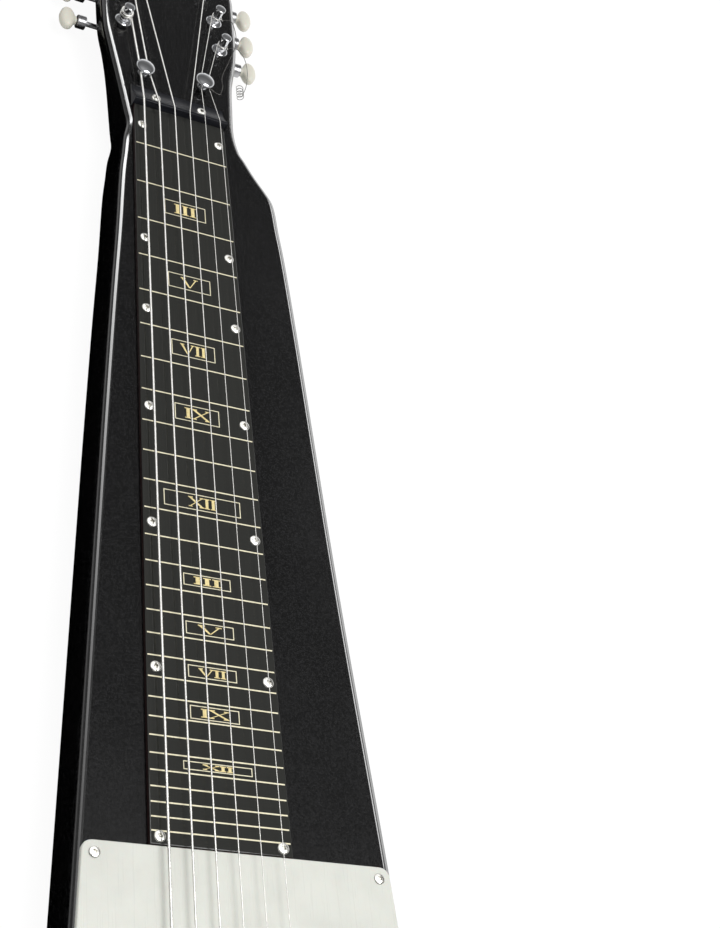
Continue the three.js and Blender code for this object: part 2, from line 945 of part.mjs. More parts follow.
function controlPlate() {
  const inside = insetPoints(outline, plateInset);
  const cornerEnd = plateStart + plateCornerRadius;
  const frontTreble = insetY(inside, cornerEnd, 1);
  const frontBass = insetY(inside, cornerEnd, -1);
  const first = inside.findIndex((point) => point.x < cornerEnd);
  const round = inside.slice(first).concat(inside.slice(0, first));
  const shape = new THREE.Shape();
  shape.moveTo(plateStart, frontTreble - plateCornerRadius);
  shape.lineTo(plateStart, frontBass + plateCornerRadius);
  shape.quadraticCurveTo(plateStart, frontBass, cornerEnd, frontBass);
  for (const point of round.filter(({ x }) => x > cornerEnd)) shape.lineTo(point.x, point.y);
  shape.lineTo(cornerEnd, frontTreble);
  shape.quadraticCurveTo(plateStart, frontTreble, plateStart, frontTreble - plateCornerRadius);
  let made = eased(shape, face + seatGap, plateTop, plateChamfer, 1);
  const low = face - cutOverrun;
  const high = plateTop + cutOverrun;
  const pickupWindow = roundedBox(
    pickupX - pickupHalfWidth - pickupWindowGap,
    pickupX + pickupHalfWidth + pickupWindowGap,
    -pickupHalfLength - pickupWindowGap,
    pickupHalfLength + pickupWindowGap,
    pickupCorner + pickupWindowGap,
  );
  const bridgeWindow = roundedBox(
    scaleLength - bridgeFront - bridgeWindowGap,
    scaleLength + bridgeBack + bridgeWindowGap,
    -bridgeHalfWidth - bridgeWindowGap,
    bridgeHalfWidth + bridgeWindowGap,
    bridgeCorner,
  );
  made = made.subtract(raised(pickupWindow, low, high)).subtract(raised(bridgeWindow, low, high));
  for (const { x } of controls) {
    made = made.subtract(peg(bushRadius + seatGap, x, controlY, low, high, jackSides));
  }
  const edge = insetPoints(outline, plateInset + plateScrewInset);
  const ends = [plateStart + plateScrewInset, bodyReach - tailCorner];
  for (const x of [ends[0], (ends[0] + ends[1]) / 2, ends[1]]) {
    for (const side of [-1, 1]) {
      const y = insetY(edge, x, side);
      made = made.subtract(peg(plateScrewRadius, x, y, low, high, plateScrewSides));
    }
  }
  return made;
}
addPiece("control_plate", controlPlate(), materials.creamPlastic);

// Bridge

function bridgeBase() {
  const low = face + seatGap;
  const floorTop = low + bridgeFloor;
  const front = scaleLength - bridgeFront;
  const back = scaleLength + bridgeBack;
  const floor = roundedBox(front, back, -bridgeHalfWidth, bridgeHalfWidth, bridgeCorner / 2);
  let made = raised(floor, low, floorTop);
  made = made.add(
    block(
      back - bridgeWall,
      back,
      -bridgeHalfWidth + bridgeCorner,
      bridgeHalfWidth - bridgeCorner,
      low,
      low + bridgeWallHeight,
    ),
  );
  for (const side of [-1, 1]) {
    const inner = side * (saddleHalfLength + seatGap);
    const outer = inner + side * cheekThickness;
    made = made.add(
      block(
        scaleLength - cheekHalfDepth,
        scaleLength + cheekHalfDepth,
        Math.min(inner, outer),
        Math.max(inner, outer),
        low,
        low + cheekHeight,
      ),
    );
    for (const x of [front + bridgeScrewInset, back - bridgeWall - bridgeScrewInset]) {
      made = made.subtract(
        peg(
          bridgeScrewRadius,
          x,
          side * (bridgeHalfWidth - bridgeScrewInset),
          low - cutOverrun,
          floorTop + cutOverrun,
          plateScrewSides,
        ),
      );
    }
  }
  stringDiameters.forEach((diameter, index) => {
    const hole = turned(
      [
        [0, -bridgeWall - cutOverrun],
        [diameter / 2 + anchorHoleGap, -bridgeWall - cutOverrun],
        [diameter / 2 + anchorHoleGap, cutOverrun],
        [0, cutOverrun],
      ],
      plateScrewSides,
    );
    hole.rotateY(Math.PI / 2);
    hole.translate(back, stringY(index, back), face + anchorHeight);
    made = made.subtract(solid(hole));
  });
  for (const channel of stringChannels(1, 3)) made = made.subtract(channel);
  return made;
}
addPiece("bridge_base", bridgeBase(), materials.chrome);

function bridgeSaddle() {
  const bottom = face + seatGap + bridgeFloor + seatGap;
  const top = stringZ - saddleBelowString;
  const radius = (top - bottom) / 2;
  const geometry = new THREE.CylinderGeometry(radius, radius, 2 * saddleHalfLength, postSides);
  geometry.translate(scaleLength, 0, bottom + radius);
  let made = solid(geometry);
  for (const channel of stringChannels(1, 4)) made = made.subtract(channel);
  return made;
}
addPiece("bridge_saddle", bridgeSaddle(), materials.steel);

// Pickup

const pickupTop = plateTop + pickupAbovePlate;
const poleYs = stringDiameters.map((_, index) => stringY(index, pickupX));

function pickupCover() {
  const outer = roundedBox(
    pickupX - pickupHalfWidth,
    pickupX + pickupHalfWidth,
    -pickupHalfLength,
    pickupHalfLength,
    pickupCorner,
  );
  const inner = roundedBox(
    pickupX - pickupHalfWidth + pickupWall,
    pickupX + pickupHalfWidth - pickupWall,
    -pickupHalfLength + pickupWall,
    pickupHalfLength - pickupWall,
    pickupCorner - pickupWall,
  );
  const bottom = pickupTop - pickupDepth;
  let made = eased(outer, bottom, pickupTop, plateChamfer, 2);
  made = made.subtract(raised(inner, bottom - cutOverrun, pickupTop - pickupWall));
  for (const y of poleYs) {
    made = made.subtract(
      peg(poleRadius + poleHoleGap, pickupX, y, bottom, pickupTop + cutOverrun, poleSides),
    );
  }
  return made;
}
addPiece("pickup_cover", pickupCover(), materials.blackPlastic);

const coilTop = pickupTop - pickupWall - seatGap;
const magnetTop = coilTop - coilHeight - seatGap;

function magnetAndPoles() {
  const end = poleYs[0] + magnetPastPoles;
  let made = block(
    pickupX - magnetHalfWidth,
    pickupX + magnetHalfWidth,
    -end,
    end,
    magnetTop - magnetHeight,
    magnetTop,
  );
  for (const y of poleYs) {
    made = made.add(
      peg(poleRadius, pickupX, y, magnetTop - magnetHeight / 2, pickupTop + poleProud, poleSides),
    );
  }
  return made;
}
addPiece("pickup_magnet_poles", magnetAndPoles(), materials.magnet);

function pickupCoil() {
  const innerHalf = poleRadius + coilInnerGap;
  const outerHalf = innerHalf + coilWinding;
  const innerEnd = poleYs[0] + innerHalf;
  const outerEnd = innerEnd + coilWinding;
  const ring = roundedBox(
    pickupX - outerHalf,
    pickupX + outerHalf,
    -outerEnd,
    outerEnd,
    outerHalf - seatGap,
  );
  const hole = roundedBox(
    pickupX - innerHalf,
    pickupX + innerHalf,
    -innerEnd,
    innerEnd,
    innerHalf - seatGap,
  );
  const bottom = coilTop - coilHeight;
  return raised(ring, bottom, coilTop).subtract(
    raised(hole, bottom - cutOverrun, coilTop + cutOverrun),
  );
}
addPiece("pickup_coil", pickupCoil(), materials.copper);

// Volume and tone controls

function pot(x) {
  const shoulder = face;
  const casing = peg(potRadius, x, controlY, shoulder - potHeight, shoulder, potSides);
  const bushStart = shoulder - bushInCasing;
  const bush = peg(bushRadius, x, controlY, bushStart, plateTop + bushRise, potSides);
  const ring = peg(
    potNutRadius,
    x,
    controlY,
    plateTop + seatGap,
    plateTop + seatGap + potNutHeight,
    potNutSides,
  );
  const bore = peg(
    potShaftRadius + shaftBoreGap,
    x,
    controlY,
    shoulder - potShaftDepth - shaftBoreGap,
    plateTop + cutOverrun,
    potSides,
  );
  return casing.add(bush).add(ring).subtract(bore);
}

function potShaft(x) {
  const top = plateTop + potShaftRise;
  return peg(potShaftRadius, x, controlY, face - potShaftDepth, top, potSides);
}

function knob(x) {
  const low = plateTop + knobClearance;
  const top = knobHeight;
  let made = turnedUpright(
    [
      [0, knobRecessDepth],
      [knobRecessRadius, knobRecessDepth],
      [knobRecessRadius, 0],
      [knobRadius, 0],
      [knobRadius, top - knobCrown - knobWaist],
      [knobRadius - knobWaist, top - knobCrown],
      [knobRadius * knobCrownShares[0], top - knobCrown * knobCrownShares[1]],
      [0, top],
    ],
    knobSides,
    x,
    controlY,
    low,
  );
  const bore = peg(
    potShaftRadius + shaftBoreGap,
    x,
    controlY,
    low - cutOverrun,
    plateTop + potShaftRise + shaftBoreGap,
    potSides,
  );
  const half = knobNotchWidth / 2;
  const notch = block(
    x - knobRadius - cutOverrun,
    x - knobRadius * knobNotchStartShare,
    controlY - half,
    controlY + half,
    low + top - knobCrown - knobNotchDepth,
    low + top + cutOverrun,
  );
  return made.subtract(bore).subtract(notch);
}
for (const { name, x } of controls) {
  addPiece(name + "_pot", pot(x), materials.steel);
  addPiece(name + "_pot_shaft", potShaft(x), materials.brass);
  addPiece(name + "_knob", knob(x), materials.chrome);
}

// Output jack

function outputJack() {
  const outside = jackFlangeThickness + seatGap;
  const geometry = turned(
    [
      [0, -jackBodyLength],
      [jackBodyRadius, -jackBodyLength],
      [jackBodyRadius, seatGap],
      [jackFlangeRadius, seatGap],
      [jackFlangeRadius, outside - seatGap],
      [jackFlangeRadius - seatGap, outside],
      [jackBoreRadius, outside],
      [jackBoreRadius, outside - jackBoreDepth],
      [0, outside - jackBoreDepth],
    ],
    jackSides,
  );
  geometry.rotateY(Math.PI / 2);
  geometry.translate(bodyReach - jackRecess, jackY, jackZ);
  return solid(geometry);
}
addPiece("output_jack", outputJack(), materials.chrome);

// Tuning machines

function machinePlate(side) {
  const own = machines.filter((machine) => machine.side === side);
  const xs = own.map((machine) => machine.x);
  const ys = own.map((machine) => machine.y);
  const shape = roundedBox(
    Math.min(...xs) - wormOffset - machinePlateMargin / 2,
    machinePlateEnd,
    Math.min(...ys) - machinePlateHalfWidth,
    Math.max(...ys) + machinePlateHalfWidth,
    machinePlateMargin / 4,
  );
  let made = raised(shape, machinePlateBottom, machinePlateTop);
  const lugNear = wormLength / 2 + meshGap;
  for (const { x, y } of own) {
    for (const end of [-1, 1]) {
      const inner = y + end * lugNear;
      const outer = inner + end * lugThickness;
      made = made.add(
        block(
          x - wormOffset - lugHalfWidth,
          x - wormOffset + lugHalfWidth,
          Math.min(inner, outer),
          Math.max(inner, outer),
          machinePlateBottom - lugDrop,
          machinePlateTop - machinePlateThickness / 2,
        ),
      );
    }
    const bore = new THREE.CylinderGeometry(
      shaftRadius + lugBoreGap,
      shaftRadius + lugBoreGap,
      wormLength + 4 * lugThickness,
      shaftSides,
    );
    bore.translate(x - wormOffset, y, wormZ);
    made = made.subtract(solid(bore));
    made = made.subtract(
      peg(
        postBoreRadius,
        x,
        y,
        machinePlateBottom - cutOverrun,
        machinePlateTop + cutOverrun,
        postSides,
      ),
    );
  }
  return made;
}
addPiece("tuner_plate_treble", machinePlate(1), materials.chrome);
addPiece("tuner_plate_bass", machinePlate(-1), materials.chrome);

function gearShape() {
  const shape = new THREE.Shape();
  const toothShares = [
    [0, gearRootRadius],
    [0.3, gearRadius],
    [0.7, gearRadius],
  ];
  for (let tooth = 0; tooth < gearTeeth; tooth++) {
    for (const [share, radius] of toothShares) {
      const angle = (2 * Math.PI * (tooth + share)) / gearTeeth;
      const corner = [radius * Math.cos(angle), radius * Math.sin(angle)];
      if (tooth === 0 && share === 0) shape.moveTo(...corner);
      else shape.lineTo(...corner);
    }
  }
  return shape;
}

function post({ number, x, y }) {
  const top = face + postAboveFace;
  const gearBottom = gearTop - gearThickness;
  let made = turnedUpright(
    [
      [0, gearBottom - gearScrewHeight],
      [gearScrewRadius, gearBottom - gearScrewHeight],
      [gearScrewRadius, gearBottom + seatGap],
      [postRadius, gearBottom + seatGap],
      [postRadius, face + postArrival * postWaistShares[0]],
      [postWaistRadius, face + postArrival * postWaistShares[1]],
      [postWaistRadius, top - postCapHeight],
      [postCapRadius, top - postCapHeight * postCapEdgeShares[0]],
      [postCapRadius, top - postCapHeight * postCapEdgeShares[1]],
      [postCapRadius * postCapTopShare, top],
      [0, top],
    ],
    postSides,
    x,
    y,
    0,
  );
  const gear = raised(gearShape(), gearBottom, gearTop).translate([x, y, 0]);
  made = made.add(gear);
  const diameter = stringDiameters[number - 1];
  const holeZ = Math.min(
    face + postArrival + (diameter + windingGap) * turnsOnPost,
    top - postCapHeight - 2 * postHoleRadius,
  );
  const hole = turned(
    [
      [0, -2 * postRadius],
      [postHoleRadius, -2 * postRadius],
      [postHoleRadius, 2 * postRadius],
      [0, 2 * postRadius],
    ],
    postHoleSides,
  );
  hole.rotateY(Math.PI / 2);
  hole.translate(x, y, holeZ);
  return made.subtract(solid(hole));
}

function wormShaft({ x, y, side, collar }) {
  const thread = [];
  const pitch = wormLength / wormThreads;
  for (let i = 0; i < wormThreads; i++) {
    const start = -wormLength / 2 + i * pitch;
    thread.push([wormRootRadius, start]);
    for (const share of wormCrestShares) thread.push([wormRadius, start + pitch * share]);
  }
  thread.push([wormRootRadius, wormLength / 2]);
  const inner = -wormLength / 2 - 2 * lugThickness;
  const near = collar - Math.abs(y);
  const far = near + collarLength;
  const outer = far + buttonLength / 2;
  const geometry = turned(
    [
      [0, inner],
      [shaftRadius, inner],
      [shaftRadius, -wormLength / 2],
      ...thread,
      [shaftRadius, wormLength / 2],
      [shaftRadius, near],
      [collarRadius, near],
      [collarRadius, far],
      [shaftRadius, far],
      [shaftRadius, outer],
      [0, outer],
    ],
    shaftSides,
  );
  geometry.rotateX((-side * Math.PI) / 2);
  geometry.translate(x - wormOffset, y, wormZ);
  return solid(geometry);
}

function buttonOutline() {
  const flare = buttonLength - buttonNeckLength;
  const right = ([along, out]) => [buttonHalfLength * along, buttonNeckLength + flare * out];
  const left = ([along, out]) => right([-along, out]);
  const [low, high, widest] = buttonSideShares;
  const [shoulder, brow] = buttonCrownShares;
  const shape = new THREE.Shape();
  shape.moveTo(-buttonNeckRadius, 0);
  shape.lineTo(buttonNeckRadius, 0);
  shape.lineTo(buttonNeckRadius, buttonNeckLength);
  shape.bezierCurveTo(...buttonSideShares.flatMap(right));
  shape.bezierCurveTo(...buttonCrownShares.flatMap(right));
  shape.bezierCurveTo(...[brow, shoulder, widest].flatMap(left));
  shape.bezierCurveTo(...[high, low].flatMap(left), -buttonNeckRadius, buttonNeckLength);
  return shape;
}

function button({ x, side, collar }) {
  const near = side * (collar + collarLength + seatGap);
  const shape = buttonOutline();
  const geometry = new THREE.ExtrudeGeometry(shape, {
    depth: 2 * (buttonHalfThickness - buttonBevel),
    bevelEnabled: true,
    bevelThickness: buttonBevel,
    bevelSize: buttonBevel,
    bevelOffset: -buttonBevel,
    bevelSegments: 1,
    curveSegments: arcSteps + 1,
  });
  geometry.translate(0, 0, -(buttonHalfThickness - buttonBevel));
  if (side < 0) geometry.rotateZ(Math.PI);
  geometry.translate(x - wormOffset, near, wormZ);
  const bore = new THREE.CylinderGeometry(
    shaftRadius + seatGap,
    shaftRadius + seatGap,
    buttonLength + 2 * seatGap,
    shaftSides,
  );
  bore.translate(x - wormOffset, near, wormZ);
  return solid(geometry).subtract(solid(bore));
}

for (const machine of machines) {
  addPiece("tuner_post_" + machine.number, post(machine), materials.chrome);
  addPiece("tuner_worm_" + machine.number, wormShaft(machine), materials.steel);
  addPiece("tuner_button_" + machine.number, button(machine), materials.creamPlastic);
}

// The origin goes to the bottom centre of the whole instrument.
const bounds = new THREE.Box3().setFromObject(guitar);
const middle = bounds.getCenter(new THREE.Vector3());
guitar.position.set(-middle.x, -middle.y, -bounds.min.z);
console.log("moved by", guitar.position.toArray().map((v) => v.toFixed(4)).join(" "));

export default guitar;
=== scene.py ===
import json
import math
import random

import bmesh
import bpy
from mathutils import Matrix, Vector


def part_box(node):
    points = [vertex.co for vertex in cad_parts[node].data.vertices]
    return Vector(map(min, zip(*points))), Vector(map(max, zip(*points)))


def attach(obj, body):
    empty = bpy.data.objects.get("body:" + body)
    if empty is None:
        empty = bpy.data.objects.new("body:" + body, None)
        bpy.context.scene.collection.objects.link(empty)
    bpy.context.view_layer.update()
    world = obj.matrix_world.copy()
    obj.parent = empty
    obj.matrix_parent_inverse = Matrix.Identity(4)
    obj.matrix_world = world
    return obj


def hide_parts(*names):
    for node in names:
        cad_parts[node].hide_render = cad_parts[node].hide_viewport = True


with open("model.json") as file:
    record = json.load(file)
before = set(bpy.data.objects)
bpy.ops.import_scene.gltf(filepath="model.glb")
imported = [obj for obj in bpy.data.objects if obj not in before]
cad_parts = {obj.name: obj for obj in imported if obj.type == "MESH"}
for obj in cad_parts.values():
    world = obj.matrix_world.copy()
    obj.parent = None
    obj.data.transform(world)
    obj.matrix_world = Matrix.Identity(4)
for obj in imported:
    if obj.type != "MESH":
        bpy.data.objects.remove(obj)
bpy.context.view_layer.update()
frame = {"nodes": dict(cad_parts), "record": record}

MM = 0.001
nut_low, nut_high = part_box("nut")
ORIGIN = Vector((nut_high.x, (nut_low.y + nut_high.y) / 2, 0))
TO_FRAME = Matrix.Translation(ORIGIN) @ Matrix.Scale(MM, 4)
STRINGS = range(1, 7)
ROOT = "guitar"


def span(node):
    """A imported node's lowest and highest corners in the strings' frame."""
    return [(corner - ORIGIN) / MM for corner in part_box(node)]


def centre(node):
    low, high = span(node)
    return (low + high) / 2


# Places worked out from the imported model
BODY, BOARD, NUT, PLATE = map(span, ("body", "fretboard", "nut", "control_plate"))
BRIDGE, SADDLE, PICKUP, JACK = map(span, ("bridge_base", "bridge_saddle", "pickup_cover", "output_jack"))
FACE = BODY[1].z
BOARD_TOP = BOARD[1].z
PLATE_TOP = PLATE[1].z
SCALE_LENGTH = (SADDLE[0].x + SADDLE[1].x) / 2
HEAD_BACK = span("tuner_plate_treble")[1].z + 0.3
POSTS = {n: centre("tuner_post_%d" % n) for n in STRINGS}
BOARD_SCREW_NODES = ["fretboard_screw_%d" % n for n in range(1, 15)]
NUT_SCREW_NODES = ["nut_screw_bass", "nut_screw_treble"]
BOARD_SCREWS = [centre(node) for node in BOARD_SCREW_NODES]
NUT_SCREWS = [centre(node) for node in NUT_SCREW_NODES]
RETAINERS = {side: centre("string_retainer_" + side) for side in ("treble", "bass")}

# Sizes that the boxes don't give
SKIN = 0.02                 # the gap between pieces that lie on each other
EDGE_RADIUS = 4.5
FRETS = 28
BOARD_HALF_AT_NUT = 28.9
BOARD_HALF_AT_END = BOARD[1].y
STRING_RADII = dict(zip(STRINGS, (0.2, 0.23, 0.33, 0.455, 0.56, 0.71)))
FIRST_WOUND_STRING = 4
NUT_SPREAD = 49.1
SADDLE_SPREAD = 58.2
STRING_Z = BOARD_TOP + 4.5
POST_BORE = 3.4
SCREW_HOLE = 1.6
SCREW_HEAD = 2.9
SCREW_HEIGHT = 1.0


# Mesh making

WELD = 1e-4
FULL_TURN = 2 * math.pi
QUARTER = math.pi / 2
ALONG_X = (QUARTER, "Y")    # lays an upright piece along X
ALONG_Y = (QUARTER, "X")


def arc(width, height, start, turn, steps):
    """Points round an oval, from a start angle through a turn, with both ends."""
    angles = [start + turn * i / steps for i in range(steps + 1)]
    return [(width * math.cos(angle), height * math.sin(angle)) for angle in angles]


def dome(radius, low, high, steps=8):
    """Radii and heights of a rounded top, from its rim to the middle."""
    return [(x, low + y) for x, y in arc(radius, high - low, 0, QUARTER, steps)[:-1]] + [(0, high)]


def bend(start, handle, end, steps=8):
    """A curve from start to end that leaves and arrives along the lines to the handle."""
    start, handle, end = Vector(start), Vector(handle), Vector(end)
    shares = [i / steps for i in range(steps + 1)]
    return [start * (1 - t) ** 2 + handle * 2 * t * (1 - t) + end * t**2 for t in shares]


def between(here, there, leave, arrive, t):
    """A point of the smooth curve between two points, with its tangents at both."""
    return (
        here * (2 * t**3 - 3 * t**2 + 1) + leave * (t**3 - 2 * t**2 + t)
        + there * (3 * t**2 - 2 * t**3) + arrive * (t**3 - t**2)
    )


def stacked(*groups):
    """Radii and heights from groups of them. Each group starts with the height it counts from."""
    return [(radius, base + height) for base, *points in groups for radius, height in points]


def loft(rings, caps=True):
    """A skin over rings of points, closed at both ends. A ring of one point is a pole."""
    mesh = bmesh.new()
    rows = [[mesh.verts.new(point) for point in ring] for ring in rings]
    for lower, upper in zip(rows, rows[1:]):
        count = max(len(lower), len(upper))
        for i in range(count):
            j = (i + 1) % count
            corners = [lower[i % len(lower)], lower[j % len(lower)]]
            corners += [upper[j % len(upper)], upper[i % len(upper)]]
            mesh.faces.new(dict.fromkeys(corners))
    for row in (rows[0], rows[-1]) if caps else ():
        if len(row) > 2:
            mesh.faces.new(row)
    bmesh.ops.recalc_face_normals(mesh, faces=mesh.faces)
    return mesh


def circle(radius, z, sides):
    if radius == 0:
        return [Vector((0, 0, z))]
    return [Vector((x, y, z)) for x, y in arc(radius, radius, 0, FULL_TURN, sides)[:-1]]


def turned(profile, sides=48):
    """A turned piece about Z, from (radius, height) pairs that start and end on the axis."""
    return loft([circle(radius, z, sides) for radius, z in profile])


def cylinder(radius, bottom, top, sides):
    return turned([(0, bottom), (radius, bottom), (radius, top), (0, top)], sides)


def moved(mesh, x, y, z, turn=None):
    """The mesh turned about the origin, then shifted."""
    matrix = Matrix.Translation((x, y, z))
    if turn:
        matrix = matrix @ Matrix.Rotation(turn[0], 4, turn[1])
    mesh.transform(matrix)
    return mesh


def joined(*meshes):
    """Separate closed pieces in one mesh."""
    whole = meshes[0]
    for mesh in meshes[1:]:
        data = bpy.data.meshes.new("part")
        mesh.to_mesh(data)
        whole.from_mesh(data)
        bpy.data.meshes.remove(data)
        mesh.free()
    return whole


def bores(radius, points, bottom, top, sides=32):
    """Upright round cutters, one at each point."""
    return [moved(cylinder(radius, bottom, top, sides), point[0], point[1], 0) for point in points]


def box_points(x0, x1, y0, y1):
    return [(x0, y0), (x1, y0), (x1, y1), (x0, y1)]


def rounded_box(x0, x1, y0, y1, radius, steps=8):
    """An outline with round corners, counter-clockwise."""
    points = []
    inside = box_points(x0 + radius, x1 - radius, y0 + radius, y1 - radius)
    for (x, y), quarters in zip(inside, (2, 3, 4, 5)):
        points += [(x + dx, y + dy) for dx, dy in arc(radius, radius, QUARTER * quarters, QUARTER, steps)]
    return points


def around(box, margin, radius, steps=8):
    """The outline of a box seen from above, widened by a margin, with round corners."""
    low, high = box
    return rounded_box(low.x - margin, high.x + margin, low.y - margin, high.y + margin, radius, steps)


def inset(outline, distance):
    """A closed outline drawn in by a distance, along the normal at each point."""
    points = [Vector(point) for point in outline]
    drawn = []
    for i, point in enumerate(points):
        arriving = (point - points[i - 1]).normalized()
        leaving = (points[(i + 1) % len(points)] - point).normalized()
        along = (arriving + leaving).normalized()
        stretch = min(1 / max(along.dot(leaving), 0.5), 2)
        drawn.append(point + Vector((-along.y, along.x)) * distance * stretch)
    return drawn


def slab(outline, bottom, top, ease, steps=4, ease_bottom=None, rim=0.25):
    """A plate with its outline's edges rounded over, and a flat rim before each cap."""
    if ease_bottom is None:
        ease_bottom = ease

    def edge(radius, level, side):
        """Insets and heights from a cap to the wall."""
        if radius == 0:
            return [(0, level)]
        quarter = arc(radius, radius, 0, QUARTER, steps)
        return [(radius - y, level + side * (radius - x)) for x, y in quarter]

    rows = [(ease_bottom + rim, bottom), *edge(ease_bottom, bottom, 1)]
    rows += [*reversed(edge(ease, top, -1)), (ease + rim, top)]
    return loft([[Vector((*point, z)) for point in inset(outline, d)] for d, z in rows])


def standing(outline, near, far, ease, steps):
    """A slab whose outline is in X and Z, from one Y to another."""
    mesh = slab(outline, near, far, ease, steps)
    mesh.transform(Matrix.Scale(-1, 4, (0, 1, 0)) @ Matrix.Rotation(QUARTER, 4, "X"))
    bmesh.ops.recalc_face_normals(mesh, faces=mesh.faces)
    return mesh


def swept(points, radius, sides=12):
    """A round wire along a path."""
    points = [Vector(point) for point in points]
    neighbours = zip([points[0]] + points, points[1:] + [points[-1]])
    tangents = [(after - before).normalized() for before, after in neighbours]
    across = tangents[0].orthogonal().normalized()
    rings = [[points[0]]]
    for point, tangent in zip(points, tangents):
        across = (across - tangent * across.dot(tangent)).normalized()
        other = tangent.cross(across)
        ring = arc(radius, radius, 0, FULL_TURN, sides)[:-1]
        rings.append([point + across * x + other * y for x, y in ring])
    return loft(rings + [[points[-1]]])


def placed(name, data):
    """A new object in the scene."""
    thing = bpy.data.objects.new(name, data)
    bpy.context.scene.collection.objects.link(thing)
    return thing


def held(name, mesh):
    data = bpy.data.meshes.new(name)
    mesh.to_mesh(data)
    mesh.free()
    return placed(name, data)


def dropped(thing):
    data = thing.data
    bpy.data.objects.remove(thing)
    bpy.data.meshes.remove(data)


def add_object(name, mesh, finishes):
    """A new object at the origin that holds the mesh, moved from the strings' frame."""
    mesh.transform(TO_FRAME)
    thing = held(name, mesh)
    for material in finishes:
        thing.data.materials.append(material)
    return thing


def settled(thing):
    """The evaluated object's mesh in place of its own, with its modifiers gone."""
    depsgraph = bpy.context.evaluated_depsgraph_get()
    data = bpy.data.meshes.new_from_object(thing.evaluated_get(depsgraph))
    old = thing.data
    thing.modifiers.clear()
    thing.data = data
    bpy.data.meshes.remove(old)
    return thing


def carved(mesh, tools, operation="DIFFERENCE"):
    """The mesh with each tool cut out of it, or joined to it."""
    base, *holders = [held("carving", part) for part in (mesh, *tools)]
    for holder in holders:
        cut = base.modifiers.new("Cut", "BOOLEAN")
        cut.operation = operation
        cut.solver = "MANIFOLD"
        cut.object = holder
    settled(base)
    result = bmesh.new()
    result.from_mesh(base.data)
    bmesh.ops.remove_doubles(result, verts=result.verts, dist=WELD)
    bmesh.ops.dissolve_degenerate(result, edges=result.edges, dist=WELD)
    for holder in (base, *holders):
        dropped(holder)
    return result


def recorded(thing, slot, replaces=(), body=ROOT, sharp=35):
    """A finished piece: smooth-shaded, riding on its body, with the nodes it replaces hidden. Its slot is not
    used.
    """
    thing.data.shade_smooth()
    thing.data.set_sharp_from_angle(angle=math.radians(sharp))
    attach(thing, body)
    if replaces:
        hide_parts(*replaces)
    return thing


def add_piece(name, mesh, finishes, *record, **more):
    return recorded(add_object(name, mesh, finishes), *record, **more)


# Node trees and materials

WHITE = (1, 1, 1, 1)
BLACK = (0, 0, 0, 1)
WAVE_SCALE = 20             # radians to a unit in a wave of scale 1


def fill(node, inputs):
    """The node with its inputs given values, or joined to other nodes."""
    for socket, value in inputs.items():
        if hasattr(value, "is_linked"):
            node.id_data.links.new(value, node.inputs[socket])
        else:
            node.inputs[socket].default_value = value
    return node


def add_node(tree, kind, inputs=None, **settings):
    node = tree.nodes.new(kind)
    for setting, value in settings.items():
        setattr(node, setting, value)
    return fill(node, inputs or {})


def calculation(tree, operation, first, second):
    return add_node(tree, "ShaderNodeMath", {0: first, 1: second}, operation=operation).outputs[0]


def ramp(tree, value, stops):
    """Colours at places along a value from 0 to 1."""
    node = add_node(tree, "ShaderNodeValToRGB", {"Fac": value})
    elements = node.color_ramp.elements
    while len(elements) < len(stops):
        elements.new(1)
    for element, (position, colour) in zip(elements, stops):
        element.position = position
        element.color = (*colour, 1)
    return node.outputs["Color"]


def new_material(name):
    material = bpy.data.materials.new(name)
    material.use_nodes = True
    return material, material.node_tree


def noise(scale, detail=3, rough=0.5, turn=0):
    """A noise pattern. A scale of three numbers stretches it along X, Y and Z."""
    def pattern(tree, place):
        size = scale
        if isinstance(scale, tuple):
            stretch = {"Vector": place, "Scale": scale, "Rotation": (0, 0, turn)}
            place, size = add_node(tree, "ShaderNodeMapping", stretch).outputs["Vector"], 1
        inputs = {"Vector": place, "Scale": size, "Detail": detail, "Roughness": rough}
        return add_node(tree, "ShaderNodeTexNoise", inputs).outputs["Fac"]
    return pattern


def ridges(reach):
    """Even ridges along X, with the given metres to a radian of their wave."""
    def pattern(tree, place):
        inputs = {"Vector": place, "Scale": 1 / (WAVE_SCALE * reach)}
        wave = add_node(tree, "ShaderNodeTexWave", inputs, bands_direction="X", wave_profile="SIN")
        return wave.outputs["Color"]
    return pattern


def finish(name, colour, roughness, *bumps, **sockets):
    """A material in the object's own coordinates. Its colour is a pattern and stops, its roughness
    a pattern with the range it takes and the range it gives, and each bump a pattern with a
    height in metres and a strength."""
    material, tree = new_material(name)
    place = add_node(tree, "ShaderNodeTexCoord").outputs["Object"]
    made = {}

    def level(pattern):
        if pattern not in made:
            made[pattern] = pattern(tree, place)
        return made[pattern]

    pattern, *stops = colour
    feeds = {"Base Color": ramp(tree, level(pattern), stops)}
    pattern, *limits = roughness
    spread = add_node(tree, "ShaderNodeMapRange", dict(enumerate([level(pattern), *limits])))
    feeds["Roughness"] = spread.outputs["Result"]
    for pattern, height, strength in bumps:
        inputs = {"Strength": strength, "Distance": height, "Height": level(pattern)}
        if "Normal" in feeds:
            inputs["Normal"] = feeds["Normal"]
        feeds["Normal"] = add_node(tree, "ShaderNodeBump", inputs).outputs["Normal"]
    feeds.update({socket.replace("_", " "): value for socket, value in sockets.items()})
    fill(tree.nodes["Principled BSDF"], feeds)
    return material


